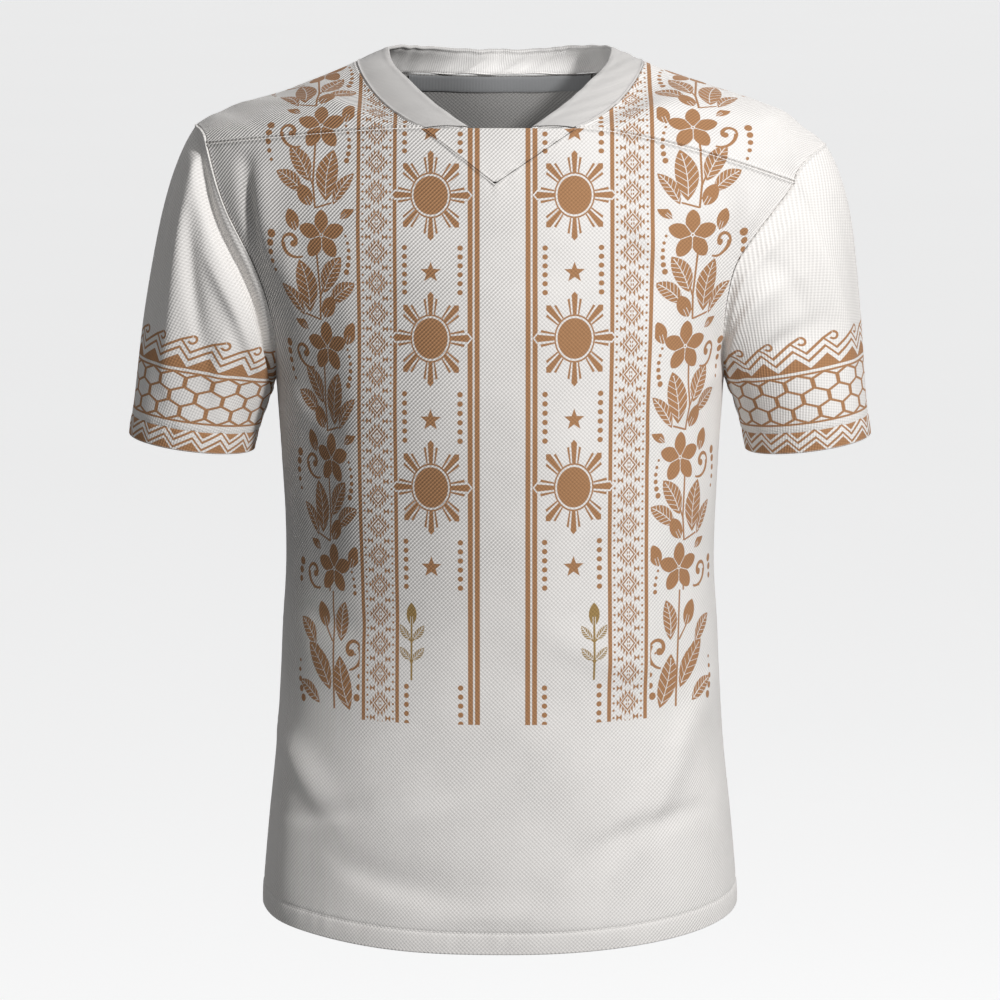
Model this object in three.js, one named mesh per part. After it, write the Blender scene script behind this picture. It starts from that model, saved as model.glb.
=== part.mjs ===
import * as THREE from 'three';

// A short-sleeved rugby shirt, filled out as if worn, with nobody in it. Sizes in millimetres.
// The origin is the middle of the neck, level with the points where the shoulders meet the neck.
// +X is the wearer's left, -Y is the front, +Z is up.

// Driving dimensions
const wall = 1.6;
const hemWall = 2.6;
const hemDepth = 17;
const bandWall = 2.4;
const tapeWall = 1;
const tapeWidth = 12;
const seamGap = 0.3;
const roundness = 2.35;
const armpitLevel = -257;
const hem = { front: -702, back: -704, side: -691 };
const neckCorner = { front: 60, back: 78 };
const neckSeamLevel = -53;
const backSeamLevel = -19;
const insertTip = { x: -4, z: -95 };
const insertTipShare = 0.05;
const insertClearance = { side: 1.2, tip: 0.8, top: 0.3 };
const archPull = { seam: 0.75, ridge: 1.05 };
const bandSwell = 1.8;
const tapeClearance = { side: 4, top: 0.9 };
const backYoke = { fall: 75, power: 0.8 };
const frontYokePower = 1.5;
const neckBlend = 0.35;

// What differs between the wearer's right and left, as the shirt hangs
const sides = {
  right: { sign: -1, frontYokeEnd: -68, tip: 241, ridgeDrop: 2.5, underOut: 10 },
  left: { sign: 1, frontYokeEnd: -98, tip: 258, ridgeDrop: 0, underOut: 24 },
};

// Level sections of the body: half width, and depth of the front and of the back at the middle
const bodySections = [
  { z: -720, half: 197, front: 132, back: 121 },
  { z: -680, half: 194.5, front: 130, back: 119 },
  { z: -620, half: 189, front: 127, back: 113 },
  { z: -560, half: 182.5, front: 125, back: 106 },
  { z: -500, half: 178.5, front: 124, back: 99 },
  { z: -460, half: 176.5, front: 124.5, back: 96.5 },
  { z: -415, half: 173.5, front: 126, back: 97 },
  { z: -370, half: 173.5, front: 128, back: 101 },
  { z: -320, half: 176, front: 129.5, back: 108 },
  { z: -280, half: 178.5, front: 129.5, back: 113 },
  { z: -257, half: 180, front: 129, back: 115 },
  { z: -235, half: 183.5, front: 127.5, back: 116.5 },
  { z: -210, half: 191.5, front: 125, back: 117.5 },
  { z: -185, half: 202.5, front: 121.5, back: 117 },
  { z: -160, half: 216, front: 117, back: 115 },
  { z: -130, half: 236, front: 109.5, back: 111 },
  { z: -100, half: 250, front: 99.5, back: 104 },
  { z: -70, half: 255, front: 88, back: 93 },
  { z: -45, half: 256, front: 78, back: 80 },
  { z: -15, half: 256, front: 64, back: 65 },
];

// Where the armhole seam lies on the body at each height, out from the middle
const armholeSeam = [
  { z: -257, right: 180, left: 180, back: 180 },
  { z: -235, right: 178.5, left: 177.5, back: 179 },
  { z: -210, right: 180, left: 177, back: 180 },
  { z: -185, right: 185, left: 179, back: 184 },
  { z: -160, right: 194, left: 185, back: 192 },
  { z: -140, right: 204, left: 198, back: 202 },
  { z: -120, right: 214, left: 214, back: 212 },
  { z: -98, right: 222, left: 231, back: 222 },
  { z: -68, right: 230, left: 243, back: 233 },
];

// The ridge of the shoulder, from the neckband out to the armhole
const shoulderRidge = [
  { x: 114, z: -9 },
  { x: 140, z: -15.5 },
  { x: 170, z: -26 },
  { x: 200, z: -35 },
  { x: 225, z: -45.5 },
  { x: 241, z: -56 },
  { x: 258, z: -71 },
];

// Half of the neckline: the seam of the neckband, and its free inner edge, front to back.
// Rows with a face lie on the body, so their depth is worked out.
const neckline = [
  { seamX: 60, face: 'front', seamZ: -53, edgeX: 25, edgeY: -82, edgeZ: -52 },
  { seamX: 76, seamY: -66, seamZ: -46.5, edgeX: 41, edgeY: -71, edgeZ: -42 },
  { seamX: 93, seamY: -45, seamZ: -35.5, edgeX: 57, edgeY: -54, edgeZ: -31 },
  { seamX: 106, seamY: -23, seamZ: -22, edgeX: 72, edgeY: -34, edgeZ: -18.5 },
  { seamX: 114, seamY: 0, seamZ: -9, edgeX: 84, edgeY: -14, edgeZ: -8 },
  { seamX: 113, seamY: 24, seamZ: -7.5, edgeX: 89, edgeY: 5, edgeZ: 2 },
  { seamX: 102, seamY: 47, seamZ: -12, edgeX: 85, edgeY: 25, edgeZ: 4.5 },
  { seamX: 78, face: 'back', seamZ: -19, edgeX: 66, edgeY: 45, edgeZ: 4 },
  { seamX: 40, face: 'back', seamZ: -21, edgeX: 36, edgeY: 57, edgeZ: 0.5 },
  { seamX: 0, face: 'back', seamZ: -21.5, edgeX: 0, edgeY: 61, edgeZ: -0.5 },
];
const neckCornerRow = 7;

// The sleeve: its hem ring, and how its cloth leaves the armhole under the arm and on top
const cuff = { x: 248.8, y: 2, z: -310.5, halfWidth: 50.6, halfDepth: 57, rise: 6.8 };
const sleeveLeave = { underFall: 58, topOut: 90, topFall: 110, swell: 28 };

// Soft folds on the body, as lines on its face: a height above 0 is a ridge, below 0 a trough
const bodyFolds = [
  { face: 'front', x1: 196, z1: -105, x2: 189, z2: -205, width: 9, height: 4 },
  { face: 'front', x1: 178, z1: -110, x2: 174, z2: -230, width: 10, height: -3.5 },
  { face: 'front', x1: -200, z1: -100, x2: -186, z2: -215, width: 9, height: 4 },
  { face: 'front', x1: -180, z1: -95, x2: -168, z2: -230, width: 10, height: -3 },
  { face: 'front', x1: 160, z1: -505, x2: 112, z2: -590, width: 13, height: 4 },
  { face: 'front', x1: 150, z1: -600, x2: 72, z2: -622, width: 12, height: -3.5 },
  { face: 'front', x1: -172, z1: -548, x2: -140, z2: -592, width: 12, height: 4 },
  { face: 'front', x1: -120, z1: -640, x2: -40, z2: -655, width: 15, height: -3 },
  { face: 'back', x1: -150, z1: -250, x2: -70, z2: -330, width: 16, height: -4 },
  { face: 'back', x1: 150, z1: -245, x2: 85, z2: -335, width: 15, height: -4 },
  { face: 'back', x1: -110, z1: -400, x2: 95, z2: -415, width: 17, height: -4.5 },
  { face: 'back', x1: -120, z1: -452, x2: 60, z2: -470, width: 16, height: 4 },
  { face: 'back', x1: 150, z1: -500, x2: 90, z2: -610, width: 14, height: 4 },
  { face: 'back', x1: -158, z1: -520, x2: -105, z2: -600, width: 14, height: 3.5 },
];

// Soft folds on the sleeves, by the share of the way round from the underarm seam (front first)
// and the share of the way down to the hem
const sleeveFolds = [
  { side: 'right', turn1: 0.4, down1: 0.12, turn2: 0.33, down2: 0.75, width: 9, height: 4.5 },
  { side: 'right', turn1: 0.3, down1: 0.15, turn2: 0.26, down2: 0.8, width: 9, height: -4 },
  { side: 'right', turn1: 0.2, down1: 0.15, turn2: 0.2, down2: 0.7, width: 8, height: 3.5 },
  { side: 'left', turn1: 0.12, down1: 0.15, turn2: 0.3, down2: 0.32, width: 9, height: 4 },
  { side: 'left', turn1: 0.11, down1: 0.4, turn2: 0.33, down2: 0.55, width: 9, height: -4 },
  { side: 'left', turn1: 0.36, down1: 0.2, turn2: 0.4, down2: 0.7, width: 10, height: 3.5 },
  { side: 'right', turn1: 0.86, down1: 0.2, turn2: 0.68, down2: 0.4, width: 10, height: -4 },
  { side: 'left', turn1: 0.87, down1: 0.2, turn2: 0.7, down2: 0.42, width: 10, height: -4 },
];
const foldFade = 22;
const sleeveFoldScale = { turn: 350, down: 185 };
const sleeveFoldFade = 5;
const seamReach = 0.8;

// How finely the pieces are divided
const steps = {
  neck: 3, shoulder: 9, upper: 10, lower: 13, yoke: 10, sleeve: 9, band: 3, insert: 5, tape: 12,
};

const mix = (a, b, t) => a + (b - a) * t;
const clamp01 = (t) => Math.min(1, Math.max(0, t));
const smooth = (t) => clamp01(t) ** 2 * (3 - 2 * clamp01(t));
const vector = (x, y, z) => new THREE.Vector3(x, y, z);

// Smooth curve through values at given places, with the slope at each from its neighbours
function curveAt(places, values, place) {
  const last = places.length - 1;
  const slope = (i) => {
    const before = Math.max(0, i - 1);
    const after = Math.min(last, i + 1);
    return (values[after] - values[before]) / (places[after] - places[before]);
  };
  let i = 0;
  while (i < last - 1 && place > places[i + 1]) {
    i += 1;
  }
  const span = places[i + 1] - places[i];
  const t = (place - places[i]) / span;
  const start = (1 + 2 * t) * (1 - t) ** 2 * values[i] + t * (1 - t) ** 2 * span * slope(i);
  const end = t * t * (3 - 2 * t) * values[i + 1] + t * t * (t - 1) * span * slope(i + 1);
  return start + end;
}

const readTable = (table, key, column, place) =>
  curveAt(table.map((row) => row[key]), table.map((row) => row[column]), place);

// Curve from one point to another that leaves and arrives along the given directions
function bridge(start, leave, end, arrive, t) {
  return start.clone().multiplyScalar((1 + 2 * t) * (1 - t) ** 2)
    .addScaledVector(leave, t * (1 - t) ** 2)
    .addScaledVector(end, t * t * (3 - 2 * t))
    .addScaledVector(arrive, t * t * (t - 1));
}

// A point on the front or back of the body
function torso(face, x, z) {
  const half = readTable(bodySections, 'z', 'half', z);
  const depth = readTable(bodySections, 'z', face, z);
  const ratio = Math.min(1, Math.abs(x) / half);
  const y = depth * (1 - ratio ** roundness) ** (1 / roundness);
  return vector(x, face === 'front' ? -y : y, z);
}

const towardsFace = (face) => (face === 'front' ? -1 : 1);
const armholeOut = (side, face, z) =>
  readTable(armholeSeam, 'z', face === 'front' ? side : 'back', z);
const yokeEnd = (side, face) =>
  (face === 'front' ? sides[side].frontYokeEnd : backSeamLevel - backYoke.fall);

// The yoke seam on the front or back, from the neckband (0) to the armhole (1)
function yokeSeam(side, face, share) {
  const end = yokeEnd(side, face);
  const x = mix(neckCorner[face], armholeOut(side, face, end), share);
  const start = face === 'front' ? neckSeamLevel : backSeamLevel;
  const power = face === 'front' ? frontYokePower : backYoke.power;
  return torso(face, sides[side].sign * x, mix(start, end, share ** power));
}

// Neckline curves, row 0 at the front corner of the yoke, the last row at the middle of the back
const neckRows = neckline.map((row, i) => i);
const neckSeamRows = neckline.map((row) =>
  (row.face ? torso(row.face, row.seamX, row.seamZ) : vector(row.seamX, row.seamY, row.seamZ)));
const neckEdgeRows = neckline.map((row) => vector(row.edgeX, row.edgeY, row.edgeZ));

function alongRows(rows, sign, place) {
  const value = (axis) => curveAt(neckRows, rows.map((point) => point[axis]), place);
  return vector(sign * value('x'), value('y'), value('z'));
}

// The arch of a yoke over the shoulder: share 0 at the neck to 1 at the armhole, over 0 front to 1 back
function yokeArch(side, share, over) {
  const { sign, tip, ridgeDrop } = sides[side];
  const ridgeX = mix(shoulderRidge[0].x, tip, share);
  const ridgeZ = readTable(shoulderRidge, 'x', 'z', ridgeX) - ridgeDrop * Math.sin(Math.PI * share);
  const ridge = vector(sign * ridgeX, 0, ridgeZ);
  const face = over < 0.5 ? 'front' : 'back';
  const seam = yokeSeam(side, face, share);
  const reach = ridge.distanceTo(seam);
  const up = torso(face, seam.x, seam.z + 1).sub(seam).setLength(reach * archPull.seam);
  const level = vector(0, towardsFace(face), 0).setLength(reach * archPull.ridge);
  if (face === 'front') {
    return bridge(seam, up, ridge, level.negate(), over * 2);
  }
  return bridge(ridge, level, seam, up.negate(), over * 2 - 1);
}

// A point on a yoke: its arch, drawn on to the neckline where it meets the neckband
function yokePoint(side, share, over) {
  const pull = 1 - smooth(share / neckBlend);
  const seam = alongRows(neckSeamRows, sides[side].sign, over * neckCornerRow);
  return yokeArch(side, share, over).addScaledVector(seam.sub(yokeArch(side, 0, over)), pull);
}

const gridOf = (rows, columns, pointAt) =>
  Array.from({ length: rows }, (_, r) => Array.from({ length: columns }, (__, c) => pointAt(r, c)));

// Normals of a grid of points, pointing out of the shirt; a ring's columns close on themselves
function gridNormals(grid, { ring, flip }) {
  const lastRow = grid.length - 1;
  const count = grid[0].length;
  return gridOf(grid.length, count, (r, c) => {
    const before = ring ? grid[r][(c + count - 1) % count] : grid[r][Math.max(0, c - 1)];
    const after = ring ? grid[r][(c + 1) % count] : grid[r][Math.min(count - 1, c + 1)];
    const along = after.clone().sub(before);
    const up = grid[Math.min(lastRow, r + 1)][c].clone().sub(grid[Math.max(0, r - 1)][c]);
    return along.cross(up).normalize().multiplyScalar(flip ? -1 : 1);
  });
}

// Distance on a flat face from a place to a line between two others
function lineDistance(x, z, line) {
  const alongX = line.x2 - line.x1;
  const alongZ = line.z2 - line.z1;
  const t = clamp01(((x - line.x1) * alongX + (z - line.z1) * alongZ) / (alongX ** 2 + alongZ ** 2));
  return Math.hypot(x - line.x1 - alongX * t, z - line.z1 - alongZ * t);
}

const foldHeight = (folds, x, z) => folds.reduce(
  (sum, fold) => sum + fold.height * Math.exp(-((lineDistance(x, z, fold) / fold.width) ** 2)), 0);

// Moves the points of a body panel along its normals by its folds, which fade out at the seams
function foldPanel(face, grid) {
  const folds = bodyFolds.filter((fold) => fold.face === face);
  const normals = gridNormals(grid, { ring: false, flip: face === 'back' });
  const top = grid.length - 1;
  return gridOf(grid.length, grid[0].length, (r, c) => {
    const point = grid[r][c];
    const toSeam = Math.min(point.distanceTo(grid[r][0]), point.distanceTo(grid[r].at(-1)),
      point.distanceTo(grid[top][c]));
    const height = foldHeight(folds, point.x, point.z) * smooth(toSeam / foldFade);
    return point.clone().addScaledVector(normals[r][c], height);
  });
}

// The columns of a body panel, counted from its middle to its edges
const columnCount = steps.neck + steps.shoulder;
const columns = Array.from({ length: 2 * columnCount + 1 }, (_, i) => i - columnCount);
const sideOf = (column) => (column < 0 ? 'right' : 'left');

// How far out a column lies, as a share of the half width, below the armpits and at the top edge
const lowShare = (column) => Math.sin(Math.abs(column) / columnCount * Math.PI / 2) ** (2 / roundness);

function topShare(face, side, column) {
  const neckShare = neckCorner[face] / armholeOut(side, face, yokeEnd(side, face));
  const place = Math.abs(column);
  return place <= steps.neck
    ? neckShare * place / steps.neck
    : mix(neckShare, 1, (place - steps.neck) / steps.shoulder);
}

// Height of the top edge of a body panel in one of its columns
function topLevel(face, side, column) {
  const place = Math.abs(column);
  if (place > steps.neck) {
    return yokeSeam(side, face, (place - steps.neck) / steps.shoulder).z;
  }
  if (face === 'front') {
    return mix(insertTip.z, neckSeamLevel, place / steps.neck);
  }
  return alongRows(neckSeamRows, 1, mix(neckRows.at(-1), neckCornerRow, place / steps.neck)).z;
}

// A body panel below the armpits: row 0 is the bottom edge, row 1 the top of the hem
function lowerPoint(face, column, row) {
  const share = lowShare(column);
  const bottom = mix(hem[face], hem.side, share ** 2);
  const z = row === 0 ? bottom : mix(bottom + hemDepth, armpitLevel, (row - 1) / steps.lower);
  const x = Math.sign(column) * share * readTable(bodySections, 'z', 'half', z);
  const point = torso(face, x, z);
  if (share === 1) {
    point.y += towardsFace(face) * seamGap / 2;
  }
  return point;
}

// A body panel above the armpits: rise 0 there to 1 at its top edge
function upperPoint(face, column, rise) {
  const side = sideOf(column);
  const climb = 1 - Math.cos(rise * Math.PI / 2);
  const edgeZ = mix(armpitLevel, yokeEnd(side, face), climb);
  const share = mix(lowShare(column), topShare(face, side, column), smooth(rise));
  const z = mix(armpitLevel, topLevel(face, side, column), climb);
  const toTip = face === 'front' ? Math.max(0, 1 - Math.abs(column) / steps.neck) : 0;
  const x = Math.sign(column) * share * armholeOut(side, face, edgeZ);
  return torso(face, x + insertTip.x * toTip * rise ** 2, z);
}

const armpitRow = steps.lower + 1;
const bodyPanel = (face) => foldPanel(face, gridOf(armpitRow + steps.upper + 1, columns.length,
  (r, c) => (r <= armpitRow
    ? lowerPoint(face, columns[c], r)
    : upperPoint(face, columns[c], (r - armpitRow) / steps.upper))));

// A yoke: rows from the front seam to the back seam, columns from the neckband to the armhole
function yokeGrid(side) {
  const grid = gridOf(steps.yoke + 1, steps.shoulder + 1, (r, c) =>
    yokePoint(side, c / steps.shoulder, r / steps.yoke));
  grid[0] = grid[0].map((point, c) => moveTo(point, grid[1][c], seamGap));
  grid[steps.yoke] = grid[steps.yoke].map((point, c) => moveTo(point, grid[steps.yoke - 1][c], seamGap));
  return grid;
}

const moveTo = (point, target, distance) =>
  point.clone().add(target.clone().sub(point).setLength(distance));

// A point on the hem ring of a sleeve, by its turn from the underarm seam
function cuffPoint(side, turn) {
  const { sign } = sides[side];
  const inward = Math.cos(turn);
  return vector(sign * (cuff.x - cuff.halfWidth * inward), cuff.y - cuff.halfDepth * Math.sin(turn),
    cuff.z - cuff.rise * inward);
}

// The cloth of a sleeve from a point of the armhole (down 0) to its hem (down 1)
function sleevePoint(side, start, turnShare, down) {
  const { sign } = sides[side];
  const turn = turnShare * 2 * Math.PI;
  const lift = (1 - Math.cos(turn)) / 2;
  const end = cuffPoint(side, turn);
  const leave = vector(sign * mix(sides[side].underOut, sleeveLeave.topOut, lift),
    -sleeveLeave.swell * Math.sin(turn), -mix(sleeveLeave.underFall, sleeveLeave.topFall, lift));
  const arrive = vector(sign * cuff.rise, 0, -cuff.halfWidth).setLength(start.distanceTo(end));
  return bridge(start, leave, end, arrive, down);
}

// The armhole as a ring of points: underarm, up the front panel, over the yoke, down the back panel
function armholeRing(side, front, back, yoke) {
  const edge = side === 'left' ? -1 : 0;
  const up = front.slice(armpitRow).map((row) => row.at(edge));
  const over = yoke.slice(1, -1).map((row) => row.at(-1));
  const down = back.slice(armpitRow).map((row) => row.at(edge)).reverse();
  up[0] = vector(up[0].x, 0, up[0].z);
  return [...up, ...over, ...down.slice(0, -1)];
}

// Shares of the way round a ring, a half up to its highest point and a half back down
function turnShares(ring) {
  const closed = [...ring, ring[0]];
  const lengths = closed.slice(1).map((point, i) => point.distanceTo(closed[i]));
  const sum = (list) => list.reduce((total, length) => total + length, 0);
  const top = ring.reduce((best, point, i) => (point.z > ring[best].z ? i : best), 0);
  return ring.map((_, i) => (i <= top
    ? 0.5 * sum(lengths.slice(0, i)) / sum(lengths.slice(0, top))
    : 0.5 + 0.5 * sum(lengths.slice(top, i)) / sum(lengths.slice(top))));
}

function sleeveGrid(side, ring, flip) {
  const shares = turnShares(ring);
  const starts = ring.map((point) => point.clone().add(vector(sides[side].sign * seamGap, 0, 0)));
  const folds = sleeveFolds.filter((fold) => fold.side === side).map((fold) => ({
    x1: fold.turn1 * sleeveFoldScale.turn, z1: fold.down1 * sleeveFoldScale.down,
    x2: fold.turn2 * sleeveFoldScale.turn, z2: fold.down2 * sleeveFoldScale.down,
    width: fold.width, height: fold.height,
  }));
  const downOf = (r, c) => {
    const hemStart = 1 - hemDepth / starts[c].distanceTo(cuffPoint(side, shares[c] * 2 * Math.PI));
    return r > steps.sleeve ? 1 : hemStart * r / steps.sleeve;
  };
  const grid = gridOf(steps.sleeve + 2, ring.length, (r, c) =>
    sleevePoint(side, starts[c], shares[c], downOf(r, c)));
  const normals = gridNormals(grid, { ring: true, flip });
  return gridOf(grid.length, ring.length, (r, c) => {
    const down = downOf(r, c);
    const height = foldHeight(folds, shares[c] * sleeveFoldScale.turn, down * sleeveFoldScale.down);
    const fade = smooth(down * sleeveFoldFade) * smooth((1 - down) * sleeveFoldFade);
    return grid[r][c].clone().addScaledVector(normals[r][c], height * fade);
  });
}

// The neckband: rows from its seam to its free edge, columns from the right end round to the left
function neckbandGrid() {
  const half = [
    ...Array.from({ length: steps.yoke + 1 }, (_, i) => i / steps.yoke * neckCornerRow),
    ...Array.from({ length: steps.neck }, (_, i) =>
      mix(neckCornerRow, neckRows.at(-1), (i + 1) / steps.neck)),
  ];
  const places = [
    ...half.map((place) => [-1, place]),
    ...half.slice(0, -1).reverse().map((place) => [1, place]),
  ];
  const flat = gridOf(steps.band + 1, places.length, (r, c) => {
    const seam = alongRows(neckSeamRows, ...places[c]);
    const edge = alongRows(neckEdgeRows, ...places[c]);
    const start = moveTo(seam, edge, seamGap);
    return start.lerp(edge, r / steps.band);
  });
  const normals = gridNormals(flat, { ring: false, flip: true });
  return gridOf(steps.band + 1, places.length, (r, c) =>
    flat[r][c].addScaledVector(normals[r][c], bandSwell * Math.sin(Math.PI * r / steps.band)));
}

// The insert: rows from its tip up, inside the V of the front panel
function insertGrid() {
  const width = neckCorner.front - insertClearance.side;
  return gridOf(steps.insert + 1, 2 * steps.neck + 1, (r, c) => {
    const share = mix(insertTipShare, 1, r / steps.insert);
    const across = (c - steps.neck) / steps.neck;
    const x = mix(insertTip.x, across * width, share);
    const z = mix(insertTip.z + insertClearance.tip, neckSeamLevel - insertClearance.top, share);
    return torso('front', x, z);
  });
}

// The neck tape, made from points of the back panel moved in past its wall
function tapeGrid() {
  const width = neckCorner.back - tapeClearance.side;
  const onPanel = gridOf(3, steps.tape + 1, (r, c) => {
    const x = mix(-width, width, c / steps.tape);
    const place = mix(neckRows.at(-1), neckCornerRow, Math.abs(x) / neckCorner.back);
    const top = alongRows(neckSeamRows, 1, place).z - tapeClearance.top;
    return torso('back', x, top - tapeWidth * (1 - r / 2));
  });
  const normals = gridNormals(onPanel, { ring: false, flip: true });
  return gridOf(3, steps.tape + 1, (r, c) =>
    onPanel[r][c].addScaledVector(normals[r][c], -wall - seamGap));
}

// Where pieces meet, their walls share one direction, so that the walls end flush
function shareNormals(pieces) {
  const rimOf = ({ grid, normals, ring }) => grid.flatMap((row, r) => row.flatMap((point, c) => {
    const onRim = r === 0 || r === grid.length - 1 || (!ring && (c === 0 || c === row.length - 1));
    return onRim ? [{ point, normal: normals[r][c] }] : [];
  }));
  const rim = pieces.flatMap(rimOf);
  const meets = (a, b) => a.point.distanceTo(b.point) < seamReach && a.normal.dot(b.normal) > 0;
  const shared = rim.map((cell) => rim.filter((other) => meets(cell, other))
    .reduce((sum, other) => sum.add(other.normal), vector(0, 0, 0)).normalize());
  rim.forEach(({ normal }, i) => normal.copy(shared[i]));
}

// One closed wall: the outer points, the points moved in by the wall, and the rims between them
function wallSolid({ grid, normals, ring, flip, thickness }) {
  const rows = grid.length;
  const count = grid[0].length;
  const inner = gridOf(rows, count, (r, c) =>
    grid[r][c].clone().addScaledVector(normals[r][c], -thickness(r)));
  const position = [...grid.flat(), ...inner.flat()].flatMap((point) => point.toArray());
  const index = [];
  const outside = (r, c) => r * count + c % count;
  const inside = (r, c) => rows * count + outside(r, c);
  const quad = (a, b, c, d) => index.push(...(flip ? [a, c, b, a, d, c] : [a, b, c, a, c, d]));
  const spans = ring ? count : count - 1;
  for (let c = 0; c < spans; c += 1) {
    for (let r = 0; r < rows - 1; r += 1) {
      quad(outside(r, c), outside(r, c + 1), outside(r + 1, c + 1), outside(r + 1, c));
      quad(inside(r, c), inside(r + 1, c), inside(r + 1, c + 1), inside(r, c + 1));
    }
    quad(outside(0, c), inside(0, c), inside(0, c + 1), outside(0, c + 1));
    quad(outside(rows - 1, c), outside(rows - 1, c + 1), inside(rows - 1, c + 1), inside(rows - 1, c));
  }
  for (let r = 0; r < rows - 1 && !ring; r += 1) {
    quad(outside(r, 0), outside(r + 1, 0), inside(r + 1, 0), inside(r, 0));
    const last = count - 1;
    quad(outside(r, last), inside(r, last), inside(r + 1, last), outside(r + 1, last));
  }
  const geometry = new THREE.BufferGeometry();
  geometry.setAttribute('position', new THREE.Float32BufferAttribute(position, 3));
  geometry.setIndex(index);
  geometry.computeVertexNormals();
  return geometry;
}

const cloth = () => new THREE.MeshStandardMaterial({ color: 0xe9e5e2, roughness: 0.85, metalness: 0 });
const rib = () => new THREE.MeshStandardMaterial({ color: 0xe4e0dc, roughness: 0.9, metalness: 0 });
const tape = () => new THREE.MeshStandardMaterial({ color: 0x84868a, roughness: 0.9, metalness: 0 });

const hemmed = (row, first, last) => (row >= first && row <= last ? hemWall : wall);
const front = bodyPanel('front');
const back = bodyPanel('back');
const yokes = { right: yokeGrid('right'), left: yokeGrid('left') };
const sleeve = (side, flip) => sleeveGrid(side, armholeRing(side, front, back, yokes[side]), flip);

// Every sewn piece: its points, which way they face, its wall and its cloth
const pieces = [
  { name: 'front_panel', grid: front, thickness: (r) => hemmed(r, 0, 1), material: cloth },
  { name: 'back_panel', grid: back, flip: true, thickness: (r) => hemmed(r, 0, 1), material: cloth },
  { name: 'yoke_right', grid: yokes.right, flip: true, thickness: () => wall, material: cloth },
  { name: 'yoke_left', grid: yokes.left, thickness: () => wall, material: cloth },
  { name: 'sleeve_right', grid: sleeve('right', false), ring: true,
    thickness: (r) => hemmed(r, steps.sleeve, steps.sleeve + 1), material: cloth },
  { name: 'sleeve_left', grid: sleeve('left', true), ring: true, flip: true,
    thickness: (r) => hemmed(r, steps.sleeve, steps.sleeve + 1), material: cloth },
  { name: 'neckband', grid: neckbandGrid(), flip: true, thickness: () => bandWall, material: rib },
  { name: 'neck_insert', grid: insertGrid(), thickness: () => wall, material: cloth },
  { name: 'neck_tape', grid: tapeGrid(), flip: true, thickness: () => tapeWall, material: tape },
];
pieces.forEach((piece) => {
  piece.normals = gridNormals(piece.grid, piece);
});
shareNormals(pieces);

// The neckband's ends are cut level, to lie on the top of the insert
const bandNormals = pieces.find((piece) => piece.name === 'neckband').normals;
bandNormals.flatMap((row) => [row[0], row.at(-1)]).forEach((normal) => normal.setZ(0).normalize());

const shirt = new THREE.Group();
pieces.forEach((piece) => {
  const mesh = new THREE.Mesh(wallSolid(piece), piece.material());
  mesh.name = piece.name;
  shirt.add(mesh);
});

export default shirt;
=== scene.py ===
import math
import bpy
import numpy as np
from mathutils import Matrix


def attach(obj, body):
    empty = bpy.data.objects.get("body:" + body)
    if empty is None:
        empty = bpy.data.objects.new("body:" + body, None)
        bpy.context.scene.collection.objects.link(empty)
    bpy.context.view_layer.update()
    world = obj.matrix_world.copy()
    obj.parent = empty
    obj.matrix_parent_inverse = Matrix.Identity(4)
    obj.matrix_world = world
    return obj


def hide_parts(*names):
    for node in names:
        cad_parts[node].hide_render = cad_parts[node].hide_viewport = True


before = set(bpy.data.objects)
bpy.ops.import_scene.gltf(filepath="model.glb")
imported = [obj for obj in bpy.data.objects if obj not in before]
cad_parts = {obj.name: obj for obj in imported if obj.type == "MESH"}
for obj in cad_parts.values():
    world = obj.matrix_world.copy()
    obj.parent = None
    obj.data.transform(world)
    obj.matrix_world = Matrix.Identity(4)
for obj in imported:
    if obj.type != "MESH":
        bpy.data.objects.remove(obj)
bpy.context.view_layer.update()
scene = bpy.context.scene
mm = 0.001
print("frame loaded")


# small helpers

def mix(a, b, t):
    return a + (b - a) * t


def smooth(t):
    t = np.clip(t, 0, 1)
    return t * t * (3 - 2 * t)


def table(names, rows):  # named columns from rows of numbers
    return {name: np.array([row[i] for row in rows], float) for i, name in enumerate(names.split())}


def added(name, data):  # a new object in the scene
    made = bpy.data.objects.new(name, data)
    scene.collection.objects.link(made)
    return made


def point(x, y, z):
    return np.stack(np.broadcast_arrays(np.asarray(x, float), y, z), -1)


def unit(v):
    return v / (np.linalg.norm(v, axis=-1, keepdims=True) + 1e-12)


def curveAt(places, values, at):  # smooth curve through values, slopes from the neighbours
    last = len(places) - 1
    before = np.maximum(np.arange(last + 1) - 1, 0)
    after = np.minimum(np.arange(last + 1) + 1, last)
    slope = (values[after] - values[before]) / (places[after] - places[before])
    i = np.clip(np.searchsorted(places, at) - 1, 0, last - 1)
    span = places[i + 1] - places[i]
    t = (at - places[i]) / span
    start = (1 + 2 * t) * (1 - t) ** 2 * values[i] + t * (1 - t) ** 2 * span * slope[i]
    return start + t * t * (3 - 2 * t) * values[i + 1] + t * t * (t - 1) * span * slope[i + 1]


def bridge(start, leave, end, arrive, t):  # leaves start and arrives at end along given directions
    t = np.asarray(t, float)[..., None]
    return ((1 + 2 * t) * (1 - t) ** 2 * start + t * (1 - t) ** 2 * leave
            + t * t * (3 - 2 * t) * end + t * t * (t - 1) * arrive)


# the worn shape, in millimetres, as in the frame

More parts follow.
